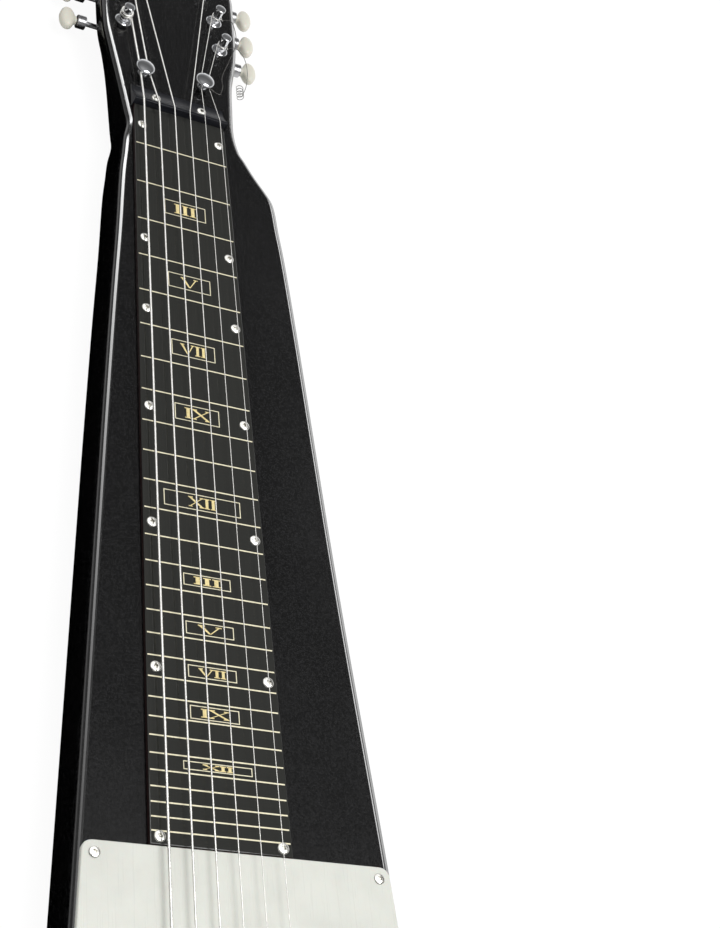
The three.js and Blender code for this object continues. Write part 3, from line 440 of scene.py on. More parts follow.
def black_lacquer(name, coat_ior):
    """Sprayed black lacquer: a slight orange peel, and faint cloudy wear in its gloss."""
    grain = noise(850, 2, 0.7)
    return finish(
        name, (grain, (0.42, (0.0001, 0.0001, 0.0002)), (0.62, (0.0072, 0.0072, 0.0075))),
        (noise(14), 0.35, 0.7, 0.2, 0.27), (noise(420, 2), 0.00003, 0.5), (grain, 0.00002, 0.6),
        Specular_IOR_Level=0.1, Coat_Weight=1.0, Coat_Roughness=0.08, Coat_IOR=coat_ior,
    )


def board_gloss():
    """The board's polished black face, with faint lengthwise polishing lines."""
    lines = noise((6, 1500, 6), 4, 0.6)
    return finish(
        "board_gloss", (lines, (0, (0.0235, 0.0245, 0.022)), (1, (0.030, 0.030, 0.0275))),
        (noise(20, 2), 0.3, 0.7, 0.015, 0.03), (lines, 0.000001, 0.5), Specular_IOR_Level=0.6,
    )


def board_edge():
    """The board's sawn sides: dark layers with a dull red cast."""
    layers = noise((4, 4, 2600), 2)
    return finish(
        "board_edge", (layers, (0.35, (0.008, 0.004, 0.004)), (0.65, (0.035, 0.010, 0.010))),
        (noise(300), 0.3, 0.7, 0.45, 0.65), (layers, 0.00004, 0.5), Specular_IOR_Level=0.3,
    )


def printed_ink(name, bright, dull):
    """Screen-printed ink, a little thinner here and there."""
    patches = noise(900, 3, 0.6)
    return finish(
        name, (patches, (0.3, dull), (0.55, bright)), (patches, 0.3, 0.7, 0.32, 0.5),
        (noise(2600), 0.00001, 0.5), Specular_IOR_Level=0.4,
    )


def black_plastic():
    """Satin moulded plastic with a fine texture."""
    texture = noise(2400, 2, 0.6)
    return finish(
        "black_plastic", (texture, (0, (0.006, 0.0065, 0.009)), (1, (0.014, 0.015, 0.020))),
        (noise(60), 0.3, 0.7, 0.28, 0.40), (texture, 0.00002, 0.5), Specular_IOR_Level=0.35,
    )


def cream_plastic(name, tint):
    """Cast cream plastic, faintly marbled, with fine rub marks."""
    scratches = noise((30, 900, 30), 3, 0.7, 0.4)
    shade = tuple(level * 0.93 for level in tint)
    return finish(
        name, (noise(55, 4, 0.6), (0.3, shade), (0.62, tint)), (scratches, 0.3, 0.75, 0.24, 0.38),
        (scratches, 0.000003, 0.4),
        Specular_IOR_Level=0.45, Subsurface_Weight=0.05, Subsurface_Scale=0.003,
    )


def chrome():
    """Bright chrome plate with a haze of fingerprints and hairline scratches."""
    haze = noise(130, 4, 0.6)
    return finish(
        "chrome", (haze, (0.3, (0.70, 0.71, 0.73)), (0.6, (0.80, 0.81, 0.83))),
        (haze, 0.35, 0.7, 0.05, 0.14), (noise((200, 4000, 200), 3, 0.7, 0.7), 0.000003, 0.4),
        Metallic=1.0,
    )


def plated_screw():
    """Dull nickel plate, handled and a little grimy in patches."""
    grime = noise(420, 4, 0.6)
    return finish(
        "nickel_plate", (grime, (0.3, (0.60, 0.59, 0.55)), (0.6, (0.82, 0.81, 0.77))),
        (grime, 0.3, 0.7, 0.14, 0.26), (noise(2500), 0.000004, 0.5), Metallic=1.0,
    )


def machined(name, bright, dull, pitch):
    """Turned or sawn bare metal, with tool marks."""
    marks = noise((pitch, 40, 40), 3, 0.6)
    return finish(
        name, (noise(160, 4, 0.6), (0.3, dull), (0.65, bright)), (marks, 0.3, 0.7, 0.22, 0.42),
        (marks, 0.00001, 0.5), Metallic=1.0,
    )


def string_wire(name, surface):
    """Bright string wire, with the bump of its surface."""
    tarnish = noise(220, 3, 0.6)
    return finish(
        name, (tarnish, (0.3, (0.76, 0.75, 0.72)), (0.6, (0.88, 0.87, 0.84))),
        (tarnish, 0.3, 0.7, 0.2, 0.28), surface, Metallic=1.0,
    )


def copper_winding():
    """Enamelled wire laid turn on turn."""
    turns = noise((60, 60, 9000), 2)
    return finish(
        "copper_winding", (turns, (0.35, (0.16, 0.05, 0.02)), (0.65, (0.45, 0.17, 0.07))),
        (turns, 0.3, 0.7, 0.25, 0.45), (turns, 0.00003, 0.6), Coat_Weight=0.4, Coat_Roughness=0.2,
    )


LACQUER = black_lacquer("black_lacquer", 1.5)
# A copy of the lacquer whose coat reflects more strongly: on the rounded edge it paints a brighter highlight
EDGE_HIGHLIGHT_LACQUER = black_lacquer("black_lacquer_edge", 2.2)
BOARD_GLOSS = board_gloss()
BOARD_SIDE = board_edge()
LINE_INK = printed_ink("cream_ink", (0.93, 0.87, 0.64), (0.80, 0.73, 0.50))
GOLD_INK = printed_ink("gold_ink", (0.92, 0.78, 0.40), (0.74, 0.58, 0.24))
PLASTIC = black_plastic()
CREAM = cream_plastic("cream_plate", (0.725, 0.735, 0.675))
PEARL = cream_plastic("cream_buttons", (0.78, 0.76, 0.66))
CHROME = chrome()
NICKEL = plated_screw()
STEEL = machined("plain_steel", (0.52, 0.52, 0.53), (0.38, 0.38, 0.39), 900)
BRASS = machined("turned_brass", (0.72, 0.54, 0.24), (0.50, 0.36, 0.14), 700)
MAGNET = machined("magnet_steel", (0.30, 0.30, 0.31), (0.20, 0.20, 0.21), 500)
# The loose string ends' wire: a much darker copy of the string steel, painted shade
SHADED_END_WIRE = machined("shaded_end_wire", (0.22, 0.21, 0.20), (0.10, 0.10, 0.09), 900)
WIRE = string_wire("plain_string", (noise(3000), 0.000001, 0.3))
WOUND_WIRE = string_wire("wound_string", (ridges(0.00028), 0.00004, 0.6))
COPPER = copper_winding()


# Geometry Nodes

def node_tree(name, inputs):
    """A new tree with a geometry input and output and the named inputs, and its input sockets."""
    tree = bpy.data.node_groups.new(name, "GeometryNodeTree")
    for way in ("INPUT", "OUTPUT"):
        tree.interface.new_socket("Geometry", in_out=way, socket_type="NodeSocketGeometry")
    for label, kind in inputs.items():
        tree.interface.new_socket(label, in_out="INPUT", socket_type="NodeSocket" + kind)
    return tree, tree.nodes.new("NodeGroupInput").outputs


def instances(tree, inputs, material):
    """Instances on points, made real and given their material, as the tree's output."""
    spread = add_node(tree, "GeometryNodeInstanceOnPoints", inputs)
    real = add_node(tree, "GeometryNodeRealizeInstances", {0: spread.outputs[0]})
    finished = add_node(tree, "GeometryNodeSetMaterial", {0: real.outputs[0], "Material": material})
    add_node(tree, "NodeGroupOutput", {0: finished.outputs[0]})
    return tree


def fret_line_tree():
    """Lines across the board, each a twelfth root of two closer to the saddle than the last."""
    tree, given = node_tree("fret_lines", {
        "Frets": "Int", "Scale Length": "Float", "Half At Nut": "Float", "Half Growth": "Float",
        "Line": "Float", "Height": "Float", "Material": "Material",
    })
    index = add_node(tree, "GeometryNodeInputIndex").outputs[0]
    octaves = calculation(tree, "DIVIDE", calculation(tree, "ADD", index, 1.0), -12.0)
    share = calculation(tree, "SUBTRACT", 1.0, calculation(tree, "POWER", 2.0, octaves))
    along = calculation(tree, "MULTIPLY", share, given["Scale Length"])
    growth = calculation(tree, "MULTIPLY", along, given["Half Growth"])
    half = calculation(tree, "ADD", growth, given["Half At Nut"])
    place = add_node(tree, "ShaderNodeCombineXYZ", {0: along})
    size = add_node(tree, "ShaderNodeCombineXYZ", {0: given["Line"], 1: half, 2: given["Height"]})
    points = add_node(
        tree, "GeometryNodePoints", {"Count": given["Frets"], "Position": place.outputs[0]}
    )
    line = add_node(tree, "GeometryNodeMeshCube", {"Size": (1, 2, 1)})
    return instances(tree, {
        "Points": points.outputs[0], "Instance": line.outputs[0], "Scale": size.outputs[0],
    }, given["Material"])


def repeated_tree():
    """One made piece set at every point, turned and sized by the points' own values."""
    tree, given = node_tree("repeated_piece", {"Piece": "Object", "Material": "Material"})
    piece = add_node(tree, "GeometryNodeObjectInfo", {"Object": given["Piece"]})
    turn = add_node(tree, "GeometryNodeInputNamedAttribute", {"Name": "turn"}, data_type="FLOAT_VECTOR")
    size = add_node(tree, "GeometryNodeInputNamedAttribute", {"Name": "size"})
    return instances(tree, {
        "Points": given[0], "Instance": piece.outputs["Geometry"],
        "Rotation": turn.outputs["Attribute"], "Scale": size.outputs["Attribute"],
    }, given["Material"])


FRET_LINE_TREE = fret_line_tree()
REPEATED_TREE = repeated_tree()


def run_tree(thing, tree, values):
    """The tree's result on the object, as a plain mesh."""
    modifier = thing.modifiers.new(tree.name, "NODES")
    modifier.node_group = tree
    items = tree.interface.items_tree
    sockets = {item.name: item.identifier for item in items if item.in_out == "INPUT"}
    for label, value in values.items():
        modifier[sockets[label]] = value
    return settled(thing)


def repeat(name, pattern, places, material, slot, replaces=()):
    """The pattern mesh at every place, as one piece. A place is a point, a turn and a size."""
    points, turns, sizes = zip(*places)
    data = bpy.data.meshes.new(name)
    data.from_pydata([TO_FRAME @ Vector(point) for point in points], [], [])
    attribute = data.attributes.new("turn", "FLOAT_VECTOR", "POINT")
    attribute.data.foreach_set("vector", [number for turn in turns for number in turn])
    attribute = data.attributes.new("size", "FLOAT", "POINT")
    attribute.data.foreach_set("value", sizes)
    thing = placed(name, data)
    pattern.transform(Matrix.Scale(MM, 4))
    holder = held("pattern", pattern)
    run_tree(thing, REPEATED_TREE, {"Piece": holder, "Material": material})
    dropped(holder)
    return recorded(thing, slot, replaces)


# Camera, floor and light

EYE = (766.44, -320.74, 681.55 + BOARD_TOP)
AIM = (231.25, 96.51, BOARD_TOP)
CAMERA_ROLL = 40.845
LENS = 45.27
SENSOR = 24
VIEW_REACH = 50             # metres

FLOOR_HALF = 9000
FLOOR_DROP = 0.3
FLOOR_COLOUR = 0.82
FLOOR_GLOW = 1.08
FLOOR_GLOW_SHARE = 0.85
WORLD_LIGHT = 0.62
# What gloss mirrors of the room, as pairs of a direction's height and its brightness
CEILING = ((0.12, 1), (0.42, 0.22), (0.63, 0.12), (0.75, 0.165), (0.84, 0.19), (1, 0.4))

# The bass strip: its two ends, its half widths there, and its glow there
STRIP_HEAD = Vector((-1061, -224, 930))
STRIP_TAIL = Vector((420, -543, 1320))
STRIP_HALVES = (330, 220)
STRIP_GLOWS = (8, 0.12)
# The flat cards: their low and high corners, and their glow
FLAT_CARDS = {
    "treble_card": ((-1500, 560, 5), (900, 560, 290), 1.2),
    "treble_strip": ((-700, 560, 440), (200, 560, 650), 4),
    "metal_card": ((-3600, -1300, 1700), (500, 1500, 1700), 1.3),
}
LAMP_PLACE = (500, 500, 1500)
LAMP_AIM = (150, 0, FACE)
LAMP_SIZE = 1000
LAMP_POWER = 14


def looking(place, aim, up):
    """The place and turn of something that looks at the aim."""
    start = TO_FRAME @ Vector(place)
    look = TO_FRAME @ Vector(aim) - start
    return Matrix.Translation(start) @ look.to_track_quat("-Z", up).to_matrix().to_4x4()


def add_camera():
    data = bpy.data.cameras.new("camera")
    data.sensor_fit = "VERTICAL"
    data.sensor_height = SENSOR
    data.lens = LENS
    data.clip_end = VIEW_REACH
    camera = placed("camera", data)
    roll = Matrix.Rotation(math.radians(CAMERA_ROLL), 4, "Z")
    camera.matrix_world = looking(EYE, AIM, "Y") @ roll
    bpy.context.scene.camera = camera


def light_path(tree):
    """1 for camera, glossy and transmission rays, 0 for the rays that light the object."""
    rays = add_node(tree, "ShaderNodeLightPath").outputs
    seen = calculation(tree, "MAXIMUM", rays["Is Camera Ray"], rays["Is Glossy Ray"])
    return calculation(tree, "MAXIMUM", seen, rays["Is Transmission Ray"])


def mixed(tree, share, first, second):
    inputs = {0: share, 1: first.outputs[0], 2: second.outputs[0]}
    return add_node(tree, "ShaderNodeMixShader", inputs).outputs[0]


def add_floor():
    """A plain white floor that stays white to the eye and still takes a soft shadow."""
    mesh = bmesh.new()
    bmesh.ops.create_grid(mesh, x_segments=1, y_segments=1, size=FLOOR_HALF)
    material, tree = new_material("floor")
    grey = (FLOOR_COLOUR, FLOOR_COLOUR, FLOOR_COLOUR, 1)
    plain = fill(
        tree.nodes["Principled BSDF"], {"Base Color": grey, "Specular IOR Level": 0, "Roughness": 1}
    )
    glow = add_node(tree, "ShaderNodeEmission", {"Strength": FLOOR_GLOW})
    share = calculation(tree, "MULTIPLY", light_path(tree), FLOOR_GLOW_SHARE)
    fill(tree.nodes["Material Output"], {"Surface": mixed(tree, share, plain, glow)})
    add_object("floor", moved(mesh, 0, 0, -FLOOR_DROP), [material])


def add_world():
    """White all round. What gloss mirrors from above is a dimmer studio ceiling."""
    world = bpy.data.worlds.new("studio")
    bpy.context.scene.world = world
    world.use_nodes = True
    tree = world.node_tree
    lit = fill(tree.nodes["Background"], {"Strength": WORLD_LIGHT, "Color": WHITE})
    place = add_node(tree, "ShaderNodeTexCoord").outputs["Generated"]
    height = add_node(tree, "ShaderNodeSeparateXYZ", {0: place}).outputs["Z"]
    level = ramp(tree, height, [(z, (level, level, level)) for z, level in CEILING])
    seen = add_node(tree, "ShaderNodeBackground", {"Strength": level, "Color": WHITE})
    fill(tree.nodes["World Output"], {"Surface": mixed(tree, light_path(tree), lit, seen)})


def add_card(name, near, far, first, last):
    """A studio card that only reflections see, from two rows of points. Its glow falls from the
    first points' level to the last's, and a card without a glow is black."""
    mesh = bmesh.new()
    near, far = [[mesh.verts.new(point) for point in row] for row in (near, far)]
    along = mesh.loops.layers.uv.new("along")
    count = len(near) - 1
    for i in range(count):
        face = mesh.faces.new((near[i], near[i + 1], far[i + 1], far[i]))
        for loop, u in zip(face.loops, (i, i + 1, i + 1, i)):
            loop[along].uv = (u / count, 0.5)
    material, tree = new_material(name)
    place = add_node(tree, "ShaderNodeTexCoord").outputs["UV"]
    way = add_node(tree, "ShaderNodeSeparateXYZ", {0: place}).outputs["X"]
    fall = calculation(tree, "POWER", last / first if first else 1, way)
    level = calculation(tree, "MULTIPLY", first, fall)
    glow = add_node(tree, "ShaderNodeEmission", {"Strength": level})
    through = add_node(tree, "ShaderNodeBsdfTransparent", {"Color": WHITE if first else BLACK})
    both = add_node(tree, "ShaderNodeAddShader", {0: glow.outputs[0], 1: through.outputs[0]})
    fill(tree.nodes["Material Output"], {"Surface": both.outputs[0]})
    card = add_object(name, mesh, [material])
    card.visible_camera = card.visible_diffuse = card.visible_shadow = False
    card.visible_transmission = card.visible_volume_scatter = False
    return card


def add_lamp():
    data = bpy.data.lights.new("overhead", "AREA")
    data.shape = "RECTANGLE"
    data.size = data.size_y = LAMP_SIZE * MM
    data.energy = LAMP_POWER
    placed("overhead", data).matrix_world = looking(LAMP_PLACE, LAMP_AIM, "X")


def add_studio():
    """The bass side's high strip draws the bright line along that edge. The treble side's low card
    whitens the other edge, and its high strip draws the line inside it. The last card lights
    the metal from above."""
    middle = (STRIP_HEAD + STRIP_TAIL) / 2
    across = (STRIP_TAIL - STRIP_HEAD).cross(Vector((0, 0, FACE)) - middle).normalized()
    at_head, at_tail = [across * half for half in STRIP_HALVES]
    near = (STRIP_HEAD - at_head, STRIP_TAIL - at_tail)
    cards = [add_card("bass_strip", near, (STRIP_HEAD + at_head, STRIP_TAIL + at_tail), *STRIP_GLOWS)]
    for name, ((x0, y0, z0), (x1, y1, z1), glow) in FLAT_CARDS.items():
        near, far = ((x0, y0, z0), (x1, y0, z0)), ((x0, y1, z1), (x1, y1, z1))
        cards.append(add_card(name, near, far, glow, glow))
    add_lamp()
    return cards


add_camera()
add_floor()
add_world()
*EDGE_CARDS, METAL_CARD = add_studio()
METAL_SEERS = bpy.data.collections.new("metal_card_seers")
METAL_CARD.light_linking.receiver_collection = METAL_SEERS


# The body

FLAG_WIDTH = 500
FLAG_RISE = 110
FLAG_INSIDE = 14
RAMP_START = 34
RAMP_END = -58
RAMP_STATIONS = 24
OVER = FACE + 5             # above the face, where cutters end
SCREW_HOLE_DEPTH = 11
RETAINER_HOLE = 2.1
RETAINER_HOLE_DEPTH = 9.5
CAVITY_MARGIN = (17, 21)    # past the middles of the pots, along X and Y
CAVITY_FLOOR = 7
PICKUP_FLOOR = 13
JACK_POCKET = 8.4
JACK_MOUTH = 10.2
# The rounded edge takes the more reflective lacquer, a painted highlight, where its normals' Z lies between
# these
HIGHLIGHT_EDGE_FROM = 0.75
FLAT = 0.999


def cad_outline():
    """The body's outline in order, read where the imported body's wall meets its rounded edge."""
    mesh = bmesh.new()
    mesh.from_mesh(frame["nodes"]["body"].data)
    bmesh.ops.remove_doubles(mesh, verts=mesh.verts, dist=0.01 * MM)
    level = (FACE - EDGE_RADIUS) * MM
    close = 0.02 * MM
    ring = [edge for edge in mesh.edges if all(abs(vert.co.z - level) < close for vert in edge.verts)]
    steps = {}
    for edge in ring:
        for vert in edge.verts:
            steps.setdefault(vert.index, []).append(edge.other_vert(vert))
    first = max((vert for edge in ring for vert in edge.verts), key=lambda vert: vert.co.x)
    before, here = first, steps[first.index][0]
    path = [first]
    while here != first:
        path.append(here)
        onward = [vert for vert in steps[here.index] if vert != before]
        before, here = here, onward[0]
    points = [((vert.co - ORIGIN) / MM).xy for vert in path]
    mesh.free()
    area = sum(a.cross(b) for a, b in zip(points, points[1:] + points[:1]))
    return points if area > 0 else points[::-1]


def smoothed(points, steps):
    """A smooth closed curve through the points. A run much longer than its neighbours is straight."""
    after = points[1:] + points[:1]
    runs = [there - here for here, there in zip(points, after)]
    lengths = [run.length for run in runs]
    beside = [max(a, b) for a, b in zip(lengths[-1:] + lengths, lengths[1:] + lengths[:1])]
    straight = [length > 1.9 * longest for length, longest in zip(lengths, beside)]
    tangents = []
    for i, run in enumerate(runs):
        if straight[i]:
            tangents.append(run.normalized())
        elif straight[i - 1]:
            tangents.append(runs[i - 1].normalized())
        else:
            blended = runs[i - 1].normalized() * lengths[i] + run.normalized() * lengths[i - 1]
            tangents.append(blended.normalized())
    curve = [
        between(here, there, leave * length, arrive * length, step / steps)
        for here, there, leave, arrive, length in zip(
            points, after, tangents, tangents[1:] + tangents[:1], lengths
        )
        for step in range(steps)
    ]
    low, high = BODY
    return [Vector((min(max(p.x, low.x), high.x), min(max(p.y, low.y), high.y))) for p in curve]


OUTLINE = smoothed(cad_outline(), 4)


def underside(x):
    """How far the back is raised at x: nothing under the body, then a long ramp to the headstock."""
    share = min(max((RAMP_START - x) / (RAMP_START - RAMP_END), 0), 1)
    return HEAD_BACK * (1 - math.cos(math.pi * share)) / 2


def add_flag():
    """A black card that rises from the bass wall's foot and keeps the floor's white out of that wall."""
    wall = sorted((point for point in OUTLINE if point.y < 0), key=lambda point: point.x)
    near = [(point.x, point.y + FLAG_INSIDE, 0) for point in wall]
    far = [(point.x, point.y - FLAG_WIDTH, FLAG_RISE) for point in wall]
    add_card("bass_flag", near, far, 0, 0)


def on_jack_axis(*groups):
    """A turned piece on the jack's axis. Its heights run from the jack's inner end to the tail."""
    axis = centre("output_jack")
    return moved(turned(stacked(*groups), 64), JACK[0].x, axis.y, axis.z, ALONG_X)


def make_body():
    mesh = slab(OUTLINE, 0, FACE, EDGE_RADIUS, 8)
    below = [face for face in mesh.faces if face.calc_center_median().z < FACE / 2]
    bmesh.ops.triangulate(mesh, faces=[face for face in below if len(face.verts) > 4])
    for i in range(RAMP_STATIONS + 1):
        x = RAMP_END + (RAMP_START - RAMP_END) * i / RAMP_STATIONS
        everything = [*mesh.verts, *mesh.edges, *mesh.faces]
        bmesh.ops.bisect_plane(mesh, geom=everything, plane_co=(x, 0, 0), plane_no=(1, 0, 0), dist=WELD)
    for vert in mesh.verts:
        if vert.co.z < FACE / 2:
            vert.co.z += underside(vert.co.x)
    holes = bores(POST_BORE + 0.4, POSTS.values(), -5, OVER)
    holes += bores(SCREW_HOLE, BOARD_SCREWS + NUT_SCREWS, FACE - SCREW_HOLE_DEPTH, OVER, 16)
    holes += bores(RETAINER_HOLE, RETAINERS.values(), FACE - RETAINER_HOLE_DEPTH, OVER, 16)
    volume, tone = centre("volume_pot"), centre("tone_pot")
    along, across = CAVITY_MARGIN
    plan = rounded_box(volume.x - along, tone.x + along, volume.y - across, volume.y + across, 10)
    cavity = slab(plan, CAVITY_FLOOR, OVER, 1)
    rout = slab(around(PICKUP, 2, 8), PICKUP_FLOOR, OVER, 0.5)
    seat = JACK[1].x - JACK[0].x - 1.9
    mouth = BODY[1].x - JACK[0].x + 4
    pocket = on_jack_axis(
        (-4, (0, 0), (JACK_POCKET, 0)), (seat, (JACK_POCKET, 0), (JACK_MOUTH, 0)),
        (mouth, (JACK_MOUTH, 0), (0, 0)),
    )
    mesh = carved(mesh, [joined(*holes), cavity, rout, pocket])
    mesh.normal_update()
    # The rounded edge's faces take the more reflective lacquer, a painted highlight along the edge
    for face in mesh.faces:
        if HIGHLIGHT_EDGE_FROM < face.normal.z < FLAT and face.calc_center_median().z > FACE - EDGE_RADIUS:
            face.material_index = 1
    body = add_piece("body_lacquered", mesh, [LACQUER, EDGE_HIGHLIGHT_LACQUER], "lacquered_wood", ["body"])
    seers = bpy.data.collections.new("edge_card_seers")
    seers.objects.link(body)
    for card in EDGE_CARDS:
        card.light_linking.receiver_collection = seers


add_flag()
make_body()


# Fretboard, its printing and the screws

INK_HEIGHT = 0.03
LINE_WIDTH = 0.72
LINE_INSET = 0.75
# Each marker: its numeral and the numeral's width, where its box starts and ends along the
# board, and the box's width
MARKERS = (
    ("III", 14.1, 71.3, 82.3, 25.5), ("V", 10.2, 125.9, 136.3, 25.5),
    ("VII", 15.3, 173.4, 183.9, 25.5), ("IX", 14.7, 216.4, 226.8, 25.5),
    ("XII", 15.5, 272.7, 282.3, 42.5), ("III", 15.1, 320.8, 327.6, 25.5),
    ("V", 12.6, 347.9, 354.9, 25.5), ("VII", 14.6, 371.8, 378.4, 25.5),
    ("IX", 14.9, 393.3, 400.4, 25.5), ("XII", 15.5, 422.3, 426.7, 35.0),
)
BOX_LINE = 0.45
NUMERAL_SHARE = 0.64        # a numeral's height as a share of its box's
STEM = 1.75
HAIRLINE = 0.75
SERIF = 0.5
SERIF_REACH = 1.2
GLYPH_WIDTHS = {"I": 3.9, "V": 9.4, "X": 9.4}


def make_board():
    start, end = BOARD[0].x, BOARD[1].x
    outline = [
        (start, -BOARD_HALF_AT_NUT), (end, -BOARD_HALF_AT_END),
        (end, BOARD_HALF_AT_END), (start, BOARD_HALF_AT_NUT),
    ]
    mesh = slab(outline, FACE + SKIN, BOARD_TOP, 0.4, 3, 0)
    mesh = carved(mesh, [joined(*bores(SCREW_HOLE, BOARD_SCREWS, FACE - 3, BOARD_TOP + 3, 16))])
    for face in mesh.faces:
        face.material_index = 0 if face.normal.z > 0.3 else 1
    add_piece("fretboard_laminate", mesh, [BOARD_GLOSS, BOARD_SIDE], "gloss_black_board", ["fretboard"])


def make_fret_lines():
    thing = held("fret_lines", bmesh.new())
    growth = (BOARD_HALF_AT_END - BOARD_HALF_AT_NUT) / BOARD[1].x
    run_tree(thing, FRET_LINE_TREE, {
        "Frets": FRETS, "Scale Length": SCALE_LENGTH * MM,
        "Half At Nut": (BOARD_HALF_AT_NUT - LINE_INSET) * MM, "Half Growth": growth,
        "Line": LINE_WIDTH * MM, "Height": INK_HEIGHT * MM, "Material": LINE_INK,
    })
    thing.data.transform(Matrix.Translation(ORIGIN + Vector((0, 0, BOARD_TOP * MM))))
    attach(thing, ROOT)


def crossing(a, b, c, d):
    """Where the line through a and b meets the line through c and d."""
    first, second = b - a, d - c
    return a + first * (c - a).cross(second) / first.cross(second)


def glyph_strokes(letter, height):
    """The letter's flat shapes, each a list of points, in its own width and the given height."""
    width = GLYPH_WIDTHS[letter]
    low, high = SERIF, height - SERIF
    if letter == "I":
        spans = ((width / 2 - STEM / 2, width / 2 + STEM / 2, low, high),
                 (0.25, width - 0.25, 0, low), (0.25, width - 0.25, high, height))
        return [box_points(*sides) for sides in spans]

    def ends(x, y, stroke):
        return Vector((x - stroke / 2, y)), Vector((x + stroke / 2, y))

    left, right = SERIF_REACH, width - SERIF_REACH
    thick, thin = ends(left, high, STEM), ends(right, high, HAIRLINE)
    serifs = [
        box_points(left - SERIF_REACH, left + 1.6, high, height),
        box_points(right - SERIF_REACH, right + SERIF_REACH, high, height),
    ]
    if letter == "V":
        foot = ends(width / 2, 0, STEM / 2)
        inner = crossing(thick[1], foot[1], thin[0], foot[0] + Vector((HAIRLINE / 2, 0)))
        return [[thick[0], *foot, thin[1], thin[0], inner, thick[1]]] + serifs
    feet, hair = ends(right, low, STEM), ends(left, low, HAIRLINE)
    west, south, north, east = [
        crossing(thick[i], feet[i], thin[j], hair[j]) for i in (0, 1) for j in (0, 1)
    ]
    letter_x = [thick[0], west, *hair, south, *feet, east, thin[1], thin[0], north, thick[1]]
    return [
        letter_x, box_points(left - SERIF_REACH, left + SERIF_REACH, 0, low),
        box_points(right - 1.5, right + SERIF_REACH, 0, low), *serifs,
    ]


def printed(shapes, place):
    """Flat shapes as thin raised ink. place turns a shape's point into X and Y on the board."""
    mesh = bmesh.new()
    for shape in shapes:
        ring = [place(point) for point in shape]
        lower, upper = [
            [mesh.verts.new((*point, BOARD_TOP + height)) for point in ring]
            for height in (-INK_HEIGHT, INK_HEIGHT)
        ]
        mesh.faces.new(lower)
        mesh.faces.new(upper)
        for i in range(len(ring)):
            j = (i + 1) % len(ring)
            mesh.faces.new((lower[i], lower[j], upper[j], upper[i]))
    bmesh.ops.recalc_face_normals(mesh, faces=mesh.faces)
    return mesh


def make_markers():
    numerals, boxes = [], []
    for word, spread, start, end, width in MARKERS:
        height = (end - start) * NUMERAL_SHARE
        stretch = spread / sum(GLYPH_WIDTHS[letter] for letter in word)
        foot = (start + end) / 2 + height / 2
        offset = -spread / 2
        for letter in word:
            numerals.append(printed(
                glyph_strokes(letter, height),
                lambda point: (foot - point[1], offset + point[0] * stretch),
            ))
            offset += GLYPH_WIDTHS[letter] * stretch
        half, line = width / 2, BOX_LINE
        sides = [
            box_points(start, start + line, -half, half), box_points(end - line, end, -half, half),
            box_points(start + line, end - line, -half, -half + line),
            box_points(start + line, end - line, half - line, half),
        ]
        boxes.append(printed(sides, lambda point: point))
    add_piece("marker_numerals", joined(*numerals), [GOLD_INK], "cream_plastic", sharp=20)
    add_piece("marker_boxes", joined(*boxes), [LINE_INK], "cream_plastic", sharp=20)


def screw_mesh(length):
    """A low domed cross-head screw, with the underside of its head on z = 0."""
    radius, height = SCREW_HEAD, SCREW_HEIGHT
    shank = radius * 0.45
    stem = [(0, -length), (shank, 2 - length), (shank, 0), (radius - 0.1, 0)]
    mesh = turned(stem + dome(radius, 0.25, height), 32)
    arm, thin = radius * 0.62, radius * 0.2
    cross = []
    for turn in (0, QUARTER):
        blade = slab(box_points(-arm, arm, -thin, thin), -height * 0.3, height + 2, 0.02, 1)
        for vert in blade.verts:
            if vert.co.z < height / 2:
                vert.co.x *= 0.45
        cross.append(moved(blade, 0, 0, 0, (turn, "Z")))
    return carved(mesh, cross)


def add_screws(name, points, seed, length, size=1, material=NICKEL, replaces=(), flip=0):
    """Screws with the undersides of their heads at the points, each turned by chance."""
    chance = random.Random(seed)
    places = [(point, (flip, 0, chance.uniform(0, math.pi)), size) for point in points]
    return repeat(name, screw_mesh(length), places, material, "chromed_metal", replaces)


def nut_screw_heads():
    """The undersides of the nut screws' heads."""
    tops = [span(node)[1].z for node in NUT_SCREW_NODES]
    return [(place.x, place.y, top - SCREW_HEIGHT) for place, top in zip(NUT_SCREWS, tops)]


def make_screws():
    points = [(place.x, place.y, BOARD_TOP + SKIN) for place in BOARD_SCREWS] + nut_screw_heads()
    nodes = BOARD_SCREW_NODES + NUT_SCREW_NODES
    METAL_SEERS.objects.link(add_screws("neck_screws", points, 7, 13, replaces=nodes))


make_board()
make_fret_lines()
make_markers()
make_screws()


# Nut and strings

NUT_RIDGE = 1.6
NUT_TOE = FACE + 0.9
NUT_STEPS = 24
POST_WAIST = 2.7
STRING_ARRIVAL = FACE + 4.2
TURNS_ON_POST = 2.5
RETAINED_HEIGHT = FACE + 3.6
RETAINER_STEM = 1.8
ANCHOR_HEIGHT = FACE + 4.6
RETAINER_PASSES = {1: ("treble", 1), 2: ("treble", -1), 5: ("bass", 1), 6: ("bass", -1)}
COIL_TURNS = 4.5
COIL_RADIUS = 2.2
COIL_START = Vector((-58.6, 54.9, 9.6))
COIL_LENGTH = 10.6


def string_y(number, x):
    half = NUT_SPREAD / 2 + (SADDLE_SPREAD - NUT_SPREAD) / 2 * x / SCALE_LENGTH
    return half - 2 * half * (number - 1) / (len(STRINGS) - 1)


